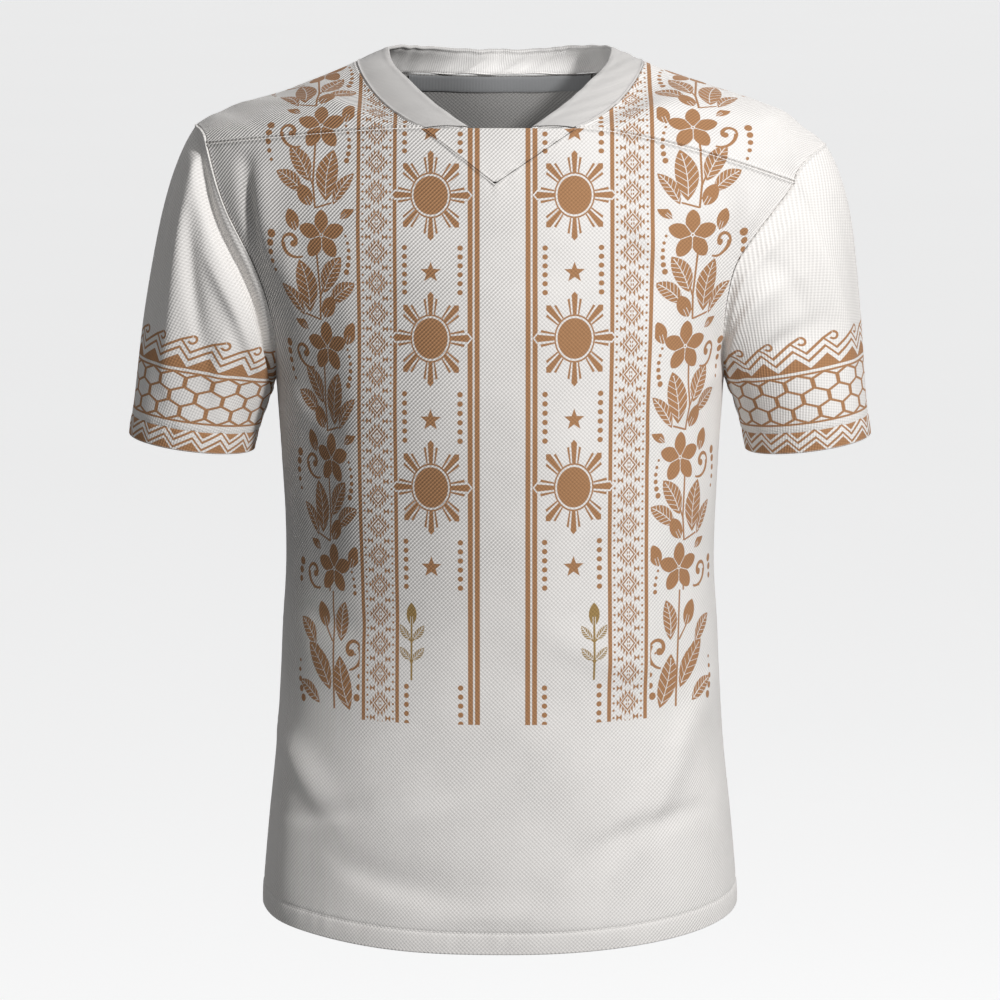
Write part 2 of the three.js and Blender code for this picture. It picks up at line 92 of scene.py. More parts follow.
cut = dict(wall=1.1, hemWall=2.2, hemDepth=17, roundness=2.35, armpit=-257, sideHem=-691,
           frontHem=-702, backHem=-704, neckLevel=-53, backLevel=-19, backFall=75, backPower=0.8,
           frontPower=1.5, tipX=-4, tipZ=-95, neckBlend=0.35, archSeam=0.75, archRidge=1.05)
corner = {"front": 60, "back": 78}
sides = {"right": dict(sign=-1, yokeEnd=-68, tip=241, ridgeDrop=2.5, underOut=10),
         "left": dict(sign=1, yokeEnd=-98, tip=258, ridgeDrop=0, underOut=24)}
body = table("z half front back", [
    (-720, 197, 132, 121), (-680, 194.5, 130, 119), (-620, 189, 127, 113), (-560, 182.5, 125, 106),
    (-500, 178.5, 124, 99), (-460, 176.5, 124.5, 96.5), (-415, 173.5, 126, 97), (-370, 173.5, 128, 101),
    (-320, 176, 129.5, 108), (-280, 178.5, 129.5, 113), (-257, 180, 129, 115), (-235, 183.5, 127.5, 116.5),
    (-210, 191.5, 125, 117.5), (-185, 202.5, 121.5, 117), (-160, 216, 117, 115), (-130, 236, 109.5, 111),
    (-100, 250, 99.5, 104), (-70, 255, 88, 93), (-45, 256, 78, 80), (-15, 256, 64, 65)])
armhole = table("z right left back", [
    (-257, 180, 180, 180), (-235, 178.5, 177.5, 179), (-210, 180, 177, 180), (-185, 185, 179, 184),
    (-160, 194, 185, 192), (-140, 204, 198, 202), (-120, 214, 214, 212), (-98, 222, 231, 222),
    (-68, 230, 243, 233)])
ridge = table("x z", [(114, -9), (140, -15.5), (170, -26), (200, -35), (225, -45.5), (241, -56), (258, -71)])
neckline = table("seamX seamY seamZ edgeX edgeY edgeZ", [
    (60, 0, -53, 25, -82, -52), (76, -66, -46.5, 41, -71, -42), (93, -45, -35.5, 57, -54, -31),
    (106, -23, -22, 72, -34, -18.5), (114, 0, -9, 84, -14, -8), (113, 24, -7.5, 89, 5, 2),
    (102, 47, -12, 85, 25, 4.5), (78, 0, -19, 66, 45, 4), (40, 0, -21, 36, 57, 0.5), (0, 0, -21.5, 0, 61, -0.5)])
cornerRow = 7
cuff = dict(x=248.8, y=2, z=-310.5, halfWidth=50.6, halfDepth=57, rise=6.8)
leaving = dict(underFall=58, topOut=90, topFall=110, swell=28)
steps = dict(neck=3, shoulder=9, lower=13)
columnCount = steps["neck"] + steps["shoulder"]


def torso(face, x, z):  # a point on the front or back of the body
    half = curveAt(body["z"], body["half"], z)
    depth = curveAt(body["z"], body[face], z)
    share = np.minimum(1, np.abs(x) / half)
    y = depth * (1 - share ** cut["roundness"]) ** (1 / cut["roundness"])
    return point(x, -y if face == "front" else y, z)


def armholeOut(side, face, z):
    return curveAt(armhole["z"], armhole[side if face == "front" else "back"], z)


def yokeEnd(side, face):
    return sides[side]["yokeEnd"] if face == "front" else cut["backLevel"] - cut["backFall"]


def yokeSeam(side, face, share):  # from the neckband to the armhole
    end = yokeEnd(side, face)
    x = mix(corner[face], armholeOut(side, face, end), share)
    start = cut["neckLevel"] if face == "front" else cut["backLevel"]
    power = cut["frontPower"] if face == "front" else cut["backPower"]
    return torso(face, sides[side]["sign"] * x, mix(start, end, share ** power))


neckRows = np.arange(len(neckline["seamX"]), dtype=float)
neckSeamY = neckline["seamY"].copy()
neckSeamY[0] = torso("front", neckline["seamX"][0], neckline["seamZ"][0])[1]
for row in range(cornerRow, len(neckRows)):
    neckSeamY[row] = torso("back", neckline["seamX"][row], neckline["seamZ"][row])[1]


def neckLine(sign, place, x, y, z):
    return point(sign * curveAt(neckRows, x, place), curveAt(neckRows, y, place), curveAt(neckRows, z, place))


def neckSeam(sign, place):
    return neckLine(sign, place, neckline["seamX"], neckSeamY, neckline["seamZ"])


def neckEdge(sign, place):
    return neckLine(sign, place, neckline["edgeX"], neckline["edgeY"], neckline["edgeZ"])


def yokeArch(side, share, over):
    own = sides[side]
    share, over = np.broadcast_arrays(np.asarray(share, float), np.asarray(over, float))
    ridgeX = mix(ridge["x"][0], own["tip"], share)
    ridgeZ = curveAt(ridge["x"], ridge["z"], ridgeX) - own["ridgeDrop"] * np.sin(math.pi * share)
    top = point(own["sign"] * ridgeX, 0, ridgeZ)
    halves = {}
    for face in ("front", "back"):
        seam = yokeSeam(side, face, share)
        span = np.linalg.norm(top - seam, axis=-1, keepdims=True)
        up = unit(torso(face, seam[..., 0], seam[..., 2] + 1) - seam) * span * cut["archSeam"]
        level = np.array([0, 1.0, 0]) * span * cut["archRidge"]
        halves[face] = (seam, up, level)
    seam, up, level = halves["front"]
    first = bridge(seam, up, top, level, over * 2)
    seam, up, level = halves["back"]
    second = bridge(top, level, seam, -up, over * 2 - 1)
    return np.where((over < 0.5)[..., None], first, second)


def yokePoint(side, share, over):
    share, over = np.broadcast_arrays(np.asarray(share, float), np.asarray(over, float))
    pull = (1 - smooth(share / cut["neckBlend"]))[..., None]
    seam = neckSeam(sides[side]["sign"], over * cornerRow)
    return yokeArch(side, share, over) + (seam - yokeArch(side, 0 * share, over)) * pull


def lowShare(column):
    return np.sin(np.abs(column) / columnCount * math.pi / 2) ** (2 / cut["roundness"])


def topShare(face, side, column):
    neckShare = corner[face] / armholeOut(side, face, yokeEnd(side, face))
    place = np.abs(column)
    outer = mix(neckShare, 1, (place - steps["neck"]) / steps["shoulder"])
    return np.where(place <= steps["neck"], neckShare * place / steps["neck"], outer)


def topLevel(face, side, column):
    place = np.abs(column)
    outer = yokeSeam(side, face, np.maximum(0, place - steps["neck"]) / steps["shoulder"])[..., 2]
    near = np.minimum(1, place / steps["neck"])
    if face == "front":
        inner = mix(cut["tipZ"], cut["neckLevel"], near)
    else:
        inner = neckSeam(1, mix(neckRows[-1], cornerRow, near))[..., 2]
    return np.where(place > steps["neck"], outer, inner)


def lowerPoint(face, column, row):  # row 0 is the bottom edge, row 1 the top of the hem
    share = lowShare(column)
    bottom = mix(cut["frontHem"] if face == "front" else cut["backHem"], cut["sideHem"], share ** 2)
    above = mix(bottom + cut["hemDepth"], cut["armpit"], (row - 1) / steps["lower"])
    z = np.where(row < 1, bottom + cut["hemDepth"] * row, above)
    return torso(face, np.sign(column) * share * curveAt(body["z"], body["half"], z), z)


def upperPoint(face, column, rise):
    climb = 1 - np.cos(rise * math.pi / 2)
    found = {}
    for side in sides:
        edgeZ = mix(cut["armpit"], yokeEnd(side, face), climb)
        share = mix(lowShare(column), topShare(face, side, column), smooth(rise))
        z = mix(cut["armpit"], topLevel(face, side, column), climb)
        found[side] = (share * armholeOut(side, face, edgeZ), z)
    x = np.where(column < 0, -found["right"][0], found["left"][0])
    z = np.where(column < 0, found["right"][1], found["left"][1])
    toTip = np.maximum(0, 1 - np.abs(column) / steps["neck"]) * (face == "front")
    return torso(face, x + cut["tipX"] * toTip * rise ** 2, z)


def cuffPoint(side, turn):
    sign = sides[side]["sign"]
    inward = np.cos(turn)
    return point(sign * (cuff["x"] - cuff["halfWidth"] * inward), cuff["y"] - cuff["halfDepth"] * np.sin(turn),
                 cuff["z"] - cuff["rise"] * inward)


def sleevePoint(side, start, share, down):
    own = sides[side]
    turn = share * 2 * math.pi
    lift = (1 - np.cos(turn)) / 2
    end = cuffPoint(side, turn)
    leave = point(own["sign"] * mix(own["underOut"], leaving["topOut"], lift), -leaving["swell"] * np.sin(turn),
                  -mix(leaving["underFall"], leaving["topFall"], lift))
    axis = unit(point(own["sign"] * cuff["rise"], 0, -cuff["halfWidth"]))
    arrive = axis * np.linalg.norm(start - end, axis=-1, keepdims=True)
    return bridge(start, leave, end, arrive, down)


def gridNormals(grid, flip):
    along = np.gradient(grid, axis=1)
    up = np.gradient(grid, axis=0)
    return unit(np.cross(along, up)) * (-1 if flip else 1)


# grids: rows and columns of points, finer beside the seams

seamSteps = np.array([0, 0.5, 1.1, 1.8, 2.6, 3.6, 5, 7])
hemSteps = np.array([0, 0.6, 1.5, 3, 5, 7.5, 10, 12.2, 14, 15.2, 15.9, 16.5, 17.1, 17.8, 19, 21])


def spread(length, step, start=seamSteps, end=seamSteps):  # distances from 0 to length
    inner = np.linspace(start[-1], length - end[-1], int((length - start[-1] - end[-1]) / step) + 2)
    return np.concatenate([start[:-1], inner, length - end[-2::-1]])


def measured(grid, axis):  # distance along the rows or columns of a grid, from its start
    step = np.linalg.norm(np.diff(grid, axis=axis), axis=-1)
    return np.insert(np.cumsum(step, axis=axis), 0, 0, axis=axis)


def distances(grid):  # along the rows, up the columns, in from the nearer side edge and down from the last row
    alongRow, alongColumn = measured(grid, 1), measured(grid, 0)
    return alongRow, alongColumn, np.minimum(alongRow, alongRow[:, -1:] - alongRow), alongColumn[-1:] - alongColumn


def levelArc(face, x, z):  # distance along the level section from the middle
    share = np.linspace(0, 1, 25)
    section = torso(face, x[..., None] * share, z[..., None] + 0 * share)
    return np.sign(x) * np.linalg.norm(np.diff(section, axis=-2), axis=-1).sum(-1)


profileLevels = np.linspace(-720, -15, 800)
profileLengths = measured(torso("front", 0 * profileLevels, profileLevels), 0)
profileLengths -= np.interp(-360, profileLevels, profileLengths)


def profileUp(z):  # distance along the middle of the front, up from level -360
    return np.interp(z, profileLevels, profileLengths)


fineColumns = np.linspace(0, columnCount, 3000)
fineShare = lowShare(fineColumns)
fineArc = measured(torso("front", fineShare * 176, 0 * fineColumns - 320), 0)
halfColumns = np.interp(spread(fineArc[-1], 3.3, start=seamSteps[:1]), fineArc, fineColumns)
bodyColumns = np.concatenate([-halfColumns[:0:-1], halfColumns])


# folds: soft ridges and troughs laid as curved lines

# x, z of the start, of the bend and of the end; width at the start and at the end; height
frontFolds = [
    (196, -105, 194, -160, 186, -212, 8, 10, 4.2), (178, -108, 180, -170, 171, -236, 9, 11, -4.6),
    (-199, -76, -198, -120, -194, -168, 6, 7, -7.5), (-190, -92, -186, -140, -160, -186, 9, 13, 4.6),
    (-118, -170, -108, -300, -112, -430, 16, 22, 4.4), (-150, -240, -146, -320, -150, -430, 15, 20, -5.2),
    (-214, -128, -207, -160, -196, -190, 5, 6, 1.8), (-163, -120, -168, -170, -158, -205, 7, 6, 1.5),
    (162, -500, 147, -545, 110, -594, 10, 15, 4.2), (156, -596, 112, -600, 68, -626, 9, 14, -3.6),
    (140, -560, 118, -606, 96, -640, 8, 9, 2), (-174, -545, -158, -560, -138, -596, 10, 13, 4.1),
    (-166, -604, -140, -600, -112, -588, 8, 9, -2.2), (-124, -636, -80, -654, -36, -652, 12, 16, -3.1),
    (-166, -560, -171, -620, -176, -694, 13, 15, 4.2),
    (-60, -676, -5, -668, 70, -678, 9, 12, 1.5), (120, -300, 150, -262, 172, -250, 10, 7, 1.9),
    (-124, -318, -150, -280, -172, -256, 10, 7, 1.7), (-40, -150, 10, -172, 62, -160, 16, 18, -1.2),
    (34, -440, 70, -470, 118, -478, 15, 12, 1.5), (-84, -430, -120, -450, -150, -440, 14, 10, -1.6),
    (96, -118, 118, -140, 140, -176, 9, 12, 1.4), (-100, -112, -122, -140, -140, -186, 9, 12, 1.2),
    (8, -560, -30, -590, -84, -600, 14, 12, 1.3)]
backFolds = [
    (-152, -248, -108, -282, -68, -332, 13, 18, -4.2), (152, -243, 124, -296, 84, -337, 12, 18, -4.3),
    (-128, -262, -90, -310, -40, -342, 9, 11, 2.4), (134, -262, 100, -318, 52, -352, 9, 12, 2.2),
    (-112, -398, -10, -420, 97, -413, 13, 18, -4.6), (-122, -450, -30, -474, 62, -470, 14, 17, 4.2),
    (-70, -498, 10, -512, 92, -500, 10, 12, -2.6), (152, -498, 132, -560, 88, -612, 11, 15, 4.3),
    (-160, -518, -140, -556, -103, -602, 12, 14, 3.8), (40, -560, 20, -610, 34, -660, 12, 15, -2.4),
    (-40, -548, -52, -600, -36, -664, 11, 14, 2.2), (-70, -128, 0, -146, 74, -132, 14, 17, 1.8),
    (-196, -128, -192, -180, -182, -226, 8, 10, 3.2), (196, -124, 191, -176, 182, -228, 8, 10, 3.4),
    (118, -150, 96, -196, 60, -224, 12, 14, -1.9), (-112, -156, -84, -206, -44, -232, 12, 14, -1.6)]
# the same for a sleeve, by distance round from the underarm seam and down from the armhole
sleeveFolds = {
    "right": [
        (142, 18, 128, 70, 116, 140, 7, 10, 4.6), (152, 14, 92, 27, 20, 32, 8, 12, -10.5),
        (108, 46, 84, 54, 56, 66, 9, 12, 4.2), (130, 46, 112, 76, 92, 106, 6, 8, -4.2),
        (76, 74, 80, 100, 66, 144, 8, 11, 3.2), (164, 40, 158, 80, 150, 118, 8, 9, -2),
        (300, 36, 272, 50, 236, 76, 8, 12, -4.1), (318, 22, 288, 30, 250, 44, 6, 8, 2.7),
        (220, 30, 214, 80, 222, 140, 9, 11, 2.4), (258, 100, 250, 130, 262, 160, 8, 8, -1.7)],
    "left": [
        (42, 26, 70, 46, 106, 58, 7, 10, 4.1), (38, 72, 76, 92, 117, 101, 7, 10, -4.1),
        (126, 34, 136, 82, 140, 132, 8, 11, 3.6), (96, 24, 108, 60, 108, 96, 6, 8, -2.4),
        (62, 18, 96, 26, 128, 22, 5, 6, 2), (156, 50, 168, 96, 162, 140, 8, 10, -2.5),
        (306, 36, 280, 56, 243, 78, 8, 12, -4.1), (322, 24, 296, 28, 262, 38, 6, 8, 2.5),
        (222, 44, 232, 92, 226, 138, 9, 11, 2.2), (268, 104, 254, 132, 262, 158, 8, 8, -1.8)]}
broadWaves = [(0.031, 0.012, 0.4, 0.5), (-0.014, 0.027, 1.9, 0.6), (0.048, -0.03, 3.1, 0.3),
              (0.021, 0.055, 5.2, 0.3), (-0.06, 0.041, 0.8, 0.16)]  # turn by x and z, phase, height


def foldHeight(folds, x, z):
    total = np.zeros(np.broadcast(x, z).shape)
    for x1, z1, xm, zm, x2, z2, w1, w2, height in folds:
        t = np.linspace(0, 1, 8)
        lineX = (1 - t) ** 2 * x1 + 2 * t * (1 - t) * xm + t * t * x2
        lineZ = (1 - t) ** 2 * z1 + 2 * t * (1 - t) * zm + t * t * z2
        best = np.full(total.shape, 1e9)
        place = np.zeros(total.shape)
        side = np.zeros(total.shape)
        for i in range(len(t) - 1):
            dx, dz = lineX[i + 1] - lineX[i], lineZ[i + 1] - lineZ[i]
            along = np.clip(((x - lineX[i]) * dx + (z - lineZ[i]) * dz) / (dx * dx + dz * dz), 0, 1)
            offX, offZ = x - lineX[i] - along * dx, z - lineZ[i] - along * dz
            away = offX ** 2 + offZ ** 2
            nearer = away < best
            best = np.where(nearer, away, best)
            place = np.where(nearer, (i + along) / (len(t) - 1), place)
            side = np.where(nearer, offX * dz - offZ * dx, side)
        width = mix(w1, w2, place) * np.where(side > 0, 0.82, 1.2)  # one flank steeper
        total += height * np.sin(math.pi * (0.1 + 0.8 * place)) ** 0.8 * np.exp(-best / width ** 2)
    return total


def waveHeight(x, z):
    return sum(high * np.sin(kx * x + kz * z + phase) for kx, kz, phase, high in broadWaves)


# the sewn edge: the cloth dips into the seam, stands up beside it and puckers a little
sewing = dict(dip=0.3, dipWidth=0.45, welt=1.0, weltAt=1.3, weltWidth=0.8, pucker=0.32, reach=9, pitch=13)


def seamHeight(away, along, welt=1.0):
    dip = -sewing["dip"] * np.exp(-(away / sewing["dipWidth"]) ** 2)
    rise = sewing["welt"] * welt * np.exp(-((away - sewing["weltAt"]) / sewing["weltWidth"]) ** 2)
    turn = along * 2 * math.pi / sewing["pitch"]
    ripple = np.sin(turn + 1.3 * np.sin(turn * 0.23)) * (0.6 + 0.4 * np.sin(turn * 0.11 + 1))
    fade = np.exp(-(away / sewing["reach"]) ** 2) * (1 - np.exp(-(away / 2.5) ** 2))
    return dip + rise + sewing["pucker"] * ripple * fade


hem = dict(groove=0.6, grooveAt=16.4, grooveWidth=1.3, full=0.35, fullAt=8, fullWidth=6, ripple=0.3, rippleAt=13,
           rippleWidth=9, pitch=17, stitchAt=16.5, thinFrom=15.5, thinOver=3)


def bump(away, width):  # a soft bump, 1 at its middle
    return np.exp(-(away / width) ** 2)


def hemHeight(up, along):  # a stitched groove, the turned-up cloth below it fuller
    groove = -hem["groove"] * bump(up - hem["grooveAt"], hem["grooveWidth"])
    turn = along * 2 * math.pi / hem["pitch"]
    ripple = np.sin(turn + 1.6 * np.sin(turn * 0.31)) * (0.55 + 0.45 * np.sin(turn * 0.13 + 2))
    return (groove + hem["full"] * bump(up - hem["fullAt"], hem["fullWidth"])
            + hem["ripple"] * ripple * bump(up - hem["rippleAt"], hem["rippleWidth"]))


def hemThickness(up):  # two layers of cloth as far as the stitches, then one
    return mix(cut["hemWall"], cut["wall"], smooth((up - hem["thinFrom"]) / hem["thinOver"]))


# from a grid to a closed shell of cloth

edgeFacts = dict(steps=6, out=0.9, sharp=50)  # a rounded edge: how many steps, how full, and what counts as sharp

def shell(name, grid, normals, thickness, place, materials, ring=False, lowRound=True, highRound=True):
    rows, count = grid.shape[:2]
    thick = np.broadcast_to(thickness, (rows,))[:, None, None]
    inner = grid - normals * thick

    def rounded(last, before):  # a rounded edge from the outer face to the inner one
        out = unit(grid[last] - grid[before])
        middle = (grid[last] + inner[last]) / 2
        half = thick[last] / 2
        turns = np.linspace(0, math.pi, edgeFacts["steps"])[1:-1]
        return [middle + normals[last] * half * math.cos(a) + out * half * math.sin(a) * edgeFacts["out"]
                for a in turns]

    high = rounded(-1, -2) if highRound else []
    low = rounded(0, 1)[::-1] if lowRound else []
    loop = np.array(list(grid) + high + list(inner[::-1]) + low)
    rowPlace = np.array(list(place) + [place[-1]] * len(high) + list(place[::-1]) + [place[0]] * len(low))
    loops = len(loop)
    spans = count - 1
    if ring:
        loop = loop[:, :-1]
        count -= 1
    r, c = np.meshgrid(np.arange(loops), np.arange(spans), indexing="ij")
    r2, c2 = (r + 1) % loops, (c + 1) % count
    faces = np.stack([r * count + c, r * count + c2, r2 * count + c2, r2 * count + c], -1).reshape(-1, 4)
    corners = np.stack([rowPlace[r, c], rowPlace[r, c + 1], rowPlace[r2, c + 1], rowPlace[r2, c]], 2)
    corners = corners.reshape(-1, 4, 2)
    insideRow = (r >= rows + len(high) - 1) & (r < 2 * rows + len(high) - 1)
    insideFaces = insideRow.reshape(-1)
    if not ring:
        o = np.arange(rows - 1)
        opposite = 2 * rows + len(high) - 1 - o
        caps = []
        for column, turned in ((0, False), (count - 1, True)):
            cap = np.stack([o, o + 1, opposite - 1, opposite], -1) * count + column
            caps.append(cap[:, ::-1] if turned else cap)
            capPlace = rowPlace[cap // count, column]
            corners = np.concatenate([corners, capPlace])
        faces = np.concatenate([faces, *caps])
        insideFaces = np.concatenate([insideFaces, np.zeros(2 * (rows - 1), bool)])
    outer = np.cross(grid[0, 1] - grid[0, 0], grid[1, 0] - grid[0, 0])
    if np.dot(outer, normals[0, 0]) < 0:
        faces = faces[:, ::-1]
        corners = corners[:, ::-1]
    mesh = bpy.data.meshes.new(name)
    points = loop.reshape(-1, 3) * mm
    mesh.vertices.add(len(points))
    mesh.vertices.foreach_set("co", points.ravel())
    mesh.loops.add(faces.size)
    mesh.loops.foreach_set("vertex_index", faces.ravel())
    mesh.polygons.add(len(faces))
    mesh.polygons.foreach_set("loop_start", np.arange(len(faces)) * 4)
    mesh.polygons.foreach_set("material_index", insideFaces.astype(int))
    mesh.update(calc_edges=True)
    layer = mesh.uv_layers.new(name="printPlace")
    layer.data.foreach_set("uv", (corners * mm).ravel())
    mesh.shade_smooth()
    mesh.set_sharp_from_angle(angle=math.radians(edgeFacts["sharp"]))
    for material in materials:
        mesh.materials.append(material)
    piece = added(name, mesh)
    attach(piece, "root")
    return piece


def gridArea(grid):
    a = grid[1:, 1:] - grid[:-1, :-1]
    b = grid[1:, :-1] - grid[:-1, 1:]
    return float(np.linalg.norm(np.cross(a, b), axis=-1).sum() / 2) * mm * mm


# camera: the photograph's view, from a little above

cameraFacts = dict(distance=3.0, elevation=10, level=-0.36, focal=133.3, film=36)
tilt = math.radians(cameraFacts["elevation"])
cameraData = bpy.data.cameras.new("camera")
cameraData.lens = cameraFacts["focal"]
cameraData.sensor_width = cameraFacts["film"]
camera = added("camera", cameraData)
camera.location = (0, -cameraFacts["distance"] * math.cos(tilt),
                   cameraFacts["level"] + cameraFacts["distance"] * math.sin(tilt))
camera.rotation_euler = (math.radians(90) - tilt, 0, 0)
scene.camera = camera


# shader maths written as Python

class wire:  # one socket
    def __init__(self, board, socket):
        self.board, self.socket = board, socket

    def math(self, operation, *values):
        return self.board.node("Math", {"operation": operation}, values)

    def __add__(self, other):
        return self.math("ADD", self, other)

    def __sub__(self, other):
        return self.math("SUBTRACT", self, other)

    def __rsub__(self, other):
        return self.math("SUBTRACT", other, self)

    def __mul__(self, other):
        return self.math("MULTIPLY", self, other)

    def __truediv__(self, other):
        return self.math("DIVIDE", self, other)

    def __rtruediv__(self, other):
        return self.math("DIVIDE", other, self)

    def __mod__(self, other):
        return self.math("FLOORED_MODULO", self, other)

    def __abs__(self):
        return self.math("ABSOLUTE", self)

    __radd__ = __add__
    __rmul__ = __mul__


def least(*parts):
    found = parts[0]
    for part in parts[1:]:
        found = found.math("MINIMUM", found, part)
    return found


def most(*parts):
    found = parts[0]
    for part in parts[1:]:
        found = found.math("MAXIMUM", found, part)
    return found


def reach(x, y):
    return x.board.node("VectorMath", {"operation": "LENGTH"}, {0: x.board.join(x, y)}, output=1)


def bearing(x, y):
    return x.math("ARCTAN2", y, x)


def sine(value):
    return value.math("SINE", value)


def cosine(value):
    return value.math("COSINE", value)


def floored(value):  # the whole number below
    return value.math("FLOOR", value)


def centred(value, period):  # repeats from -period / 2 to period / 2
    return (value + period / 2) % period - period / 2


def turned(x, y, degrees):
    c, s = math.cos(math.radians(degrees)), math.sin(math.radians(degrees))
    return x * c + y * s, y * c - x * s


def inked(away, soft=0.5):  # 1 inside a shape, 0 outside it, by signed distance in millimetres
    return away.board.node("Math", {"operation": "MULTIPLY_ADD", "use_clamp": True}, [away, -1 / soft, 0.5])


class board:  # one material
    def __init__(self, name):
        self.material = bpy.data.materials.new(name)
        self.material.use_nodes = True
        self.tree = self.material.node_tree
        self.tree.nodes.clear()

    def node(self, kind, settings=None, sockets=None, output=0):
        made = self.tree.nodes.new("ShaderNode" + kind)
        for key, value in (settings or {}).items():
            setattr(made, key, value)
        pairs = sockets.items() if isinstance(sockets, dict) else enumerate(sockets or [])
        for key, value in pairs:
            if isinstance(value, wire):
                self.tree.links.new(value.socket, made.inputs[key])
            else:
                made.inputs[key].default_value = value
        return wire(self, made.outputs[output] if made.outputs else None)

    def join(self, x, y, z=0.0):
        return self.node("CombineXYZ", None, [x, y, z])

    def split(self, vector):
        made = self.node("SeparateXYZ", None, [vector])
        return [wire(self, socket) for socket in made.socket.node.outputs]

    def blend(self, factor, first, second):
        return self.node("Mix", {"data_type": "RGBA"}, {0: factor, 6: first, 7: second}, output=2)

    def noise(self, vector, scale, detail=2.0):
        return self.node("TexNoise", None, {"Vector": vector, "Scale": scale, "Detail": detail})

    def place(self):  # the print's own place on the cloth, in millimetres
        u, v, _ = self.split(self.node("UVMap", {"uv_map": "printPlace"}))
        return u * 1000.0, v * 1000.0


def printOut(u):  # beyond the chest's middle the print sits a little further in on the right, further out on the left
    beyond = np.maximum(0, np.abs(u) - 70)
    return u + np.where(u < 0, -0.08, -0.025) * beyond


# the print: every shape is a signed distance in millimetres, below 0 inside it

printFacts = dict(period=116.5, sunAt=148.5, starDown=63.5, dotDown=61.5, foot=-157.4, sunFoot=-25,
                  sunOut=55.6, stretch=1.21, floralOut=147.0, flowerAt=-39.0, floralPeriod=88.5, floralFoot=-151.0,
                  bandOut=99.85, bandHalf=15.3, bandPeriod=23.8)


def leafShape(x, y, length, width):  # a pointed oval lying along x
    radius = (length ** 2 + width ** 2) / (2 * width)
    return reach(x, abs(y) + (radius - width)) - radius


def veinedLeaf(x, y, length, width, bend=0.0):
    if bend:
        y = y + x * x * bend
    outline = leafShape(x, y, length, width)
    rib = abs(y) - 0.36
    side = abs(centred(x + abs(y) * -0.85, length * 0.27)) - 0.27
    gaps = most(least(rib, side), abs(x) - length * 0.84)
    return most(outline, 0.0 - gaps)


def budShape(x, y, length, width):  # a plump leaf with two slits at its foot
    slits = most(abs(abs(y) - width * 0.22) - 0.24, x + length * 0.2)
    return most(leafShape(x, y, length, width), 0.0 - slits)


def ringPart(x, y, radius, half, start, end, taper=0.0, drift=0.0):  # part of a ring, between two bearings
    tx, ty = turned(x, y, (start + end) / 2)
    turn = bearing(tx, ty)
    span = math.radians(end - start) / 2
    middle = turn * (drift / span) + radius if drift else radius
    width = turn * (taper / span) + half if taper else half
    return most(abs(reach(x, y) - middle) - width, abs(turn) * radius - span * radius)


def curlShape(x, y, radius, half, start, end, sense):  # a tendril that thickens and winds in to a round knob
    ring = ringPart(x, y, radius, half, start, end, half * 0.35 * sense, radius * -0.3 * sense)
    last = math.radians(end if sense > 0 else start)
    out = radius * 0.7 - half * 0.7
    return least(ring, reach(x - out * math.cos(last), y - out * math.sin(last)) - half * 1.75)


def hookShape(x, y, size):  # a tail that sweeps out and up into a curl
    tail = ringPart(x + size * 0.85, y + size * 0.1, size * 1.85, size * 0.2, -112, 2, size * 0.08)
    return least(tail, curlShape(x, y, size * 0.85, size * 0.24, -6, 215, 1))


def strand(x, y, x0, y0, x1, y1, half):  # a short straight stalk
    tx, ty = turned(x - (x0 + x1) / 2, y - (y0 + y1) / 2, math.degrees(math.atan2(y1 - y0, x1 - x0)))
    return reach(most(abs(tx) - math.hypot(x1 - x0, y1 - y0) / 2, 0.0), ty) - half


def dotArc(x, y, radius, size, start, end, count, growth=0.0):
    step = math.radians(end - start) / count
    tx, ty = turned(x, y, (start + end) / 2)
    turn = bearing(tx, ty)
    place = centred(turn - (step / 2 if count % 2 == 0 else 0.0), step)
    dot = reach(place * radius, reach(x, y) - radius) - ((turn - place) * (growth / (step * count)) + size)
    return most(dot, abs(turn) * radius - step * count / 2 * radius)


def flowerShape(x, y, radius, turn):  # five broad petals, parted by thin gaps, a dot in a pale ring
    tx, ty = turned(x, y, turn)
    angle = centred(bearing(tx, ty), 2 * math.pi / 5)
    away = reach(tx, ty)
    along, across = away * cosine(angle), away * abs(sine(angle))
    petal = reach((along - radius * 0.57) / 1.3, across + (radius * 0.08)) - radius * 0.395
    rest = math.pi / 5 - abs(angle)
    gap = away * sine(rest) - 0.3
    return least(most(petal, 0.0 - gap, 1.75 - away), away - 0.75)


def starShape(x, y, radius):
    angle = abs(centred(bearing(y, x), 2 * math.pi / 5))
    away = reach(x, y)
    px, py = away * cosine(angle), away * sine(angle)
    inner = radius * 0.42
    dx, dy = inner * math.cos(math.pi / 5) - radius, inner * math.sin(math.pi / 5)
    size = math.hypot(dx, dy)
    return (px - radius) * (dy / size) + py * (-dx / size)


def sunShapes(x, y):
    angle = centred(bearing(x, y), math.pi / 4)
    away = reach(x, y)
    along, across = away * cosine(angle), abs(away * sine(angle))
    half = along * 0.078 + 0.18
    tip = most(across - half, across * 0.95 + along - 31.0)
    side = most(abs(across - along * 0.165 - 0.4) - along * 0.04 + 0.1, along + across * 0.35 - 27.8)
    rays = most(least(tip, side), 15.4 - along)
    ring = abs(away - 15.2) - 0.6
    outline = least(most(across - half - 1.1, across * 0.95 + along - 32.4), most(across - half - 3.6, along - 27.4))
    return least(away - 13.3, ring, rays), outline


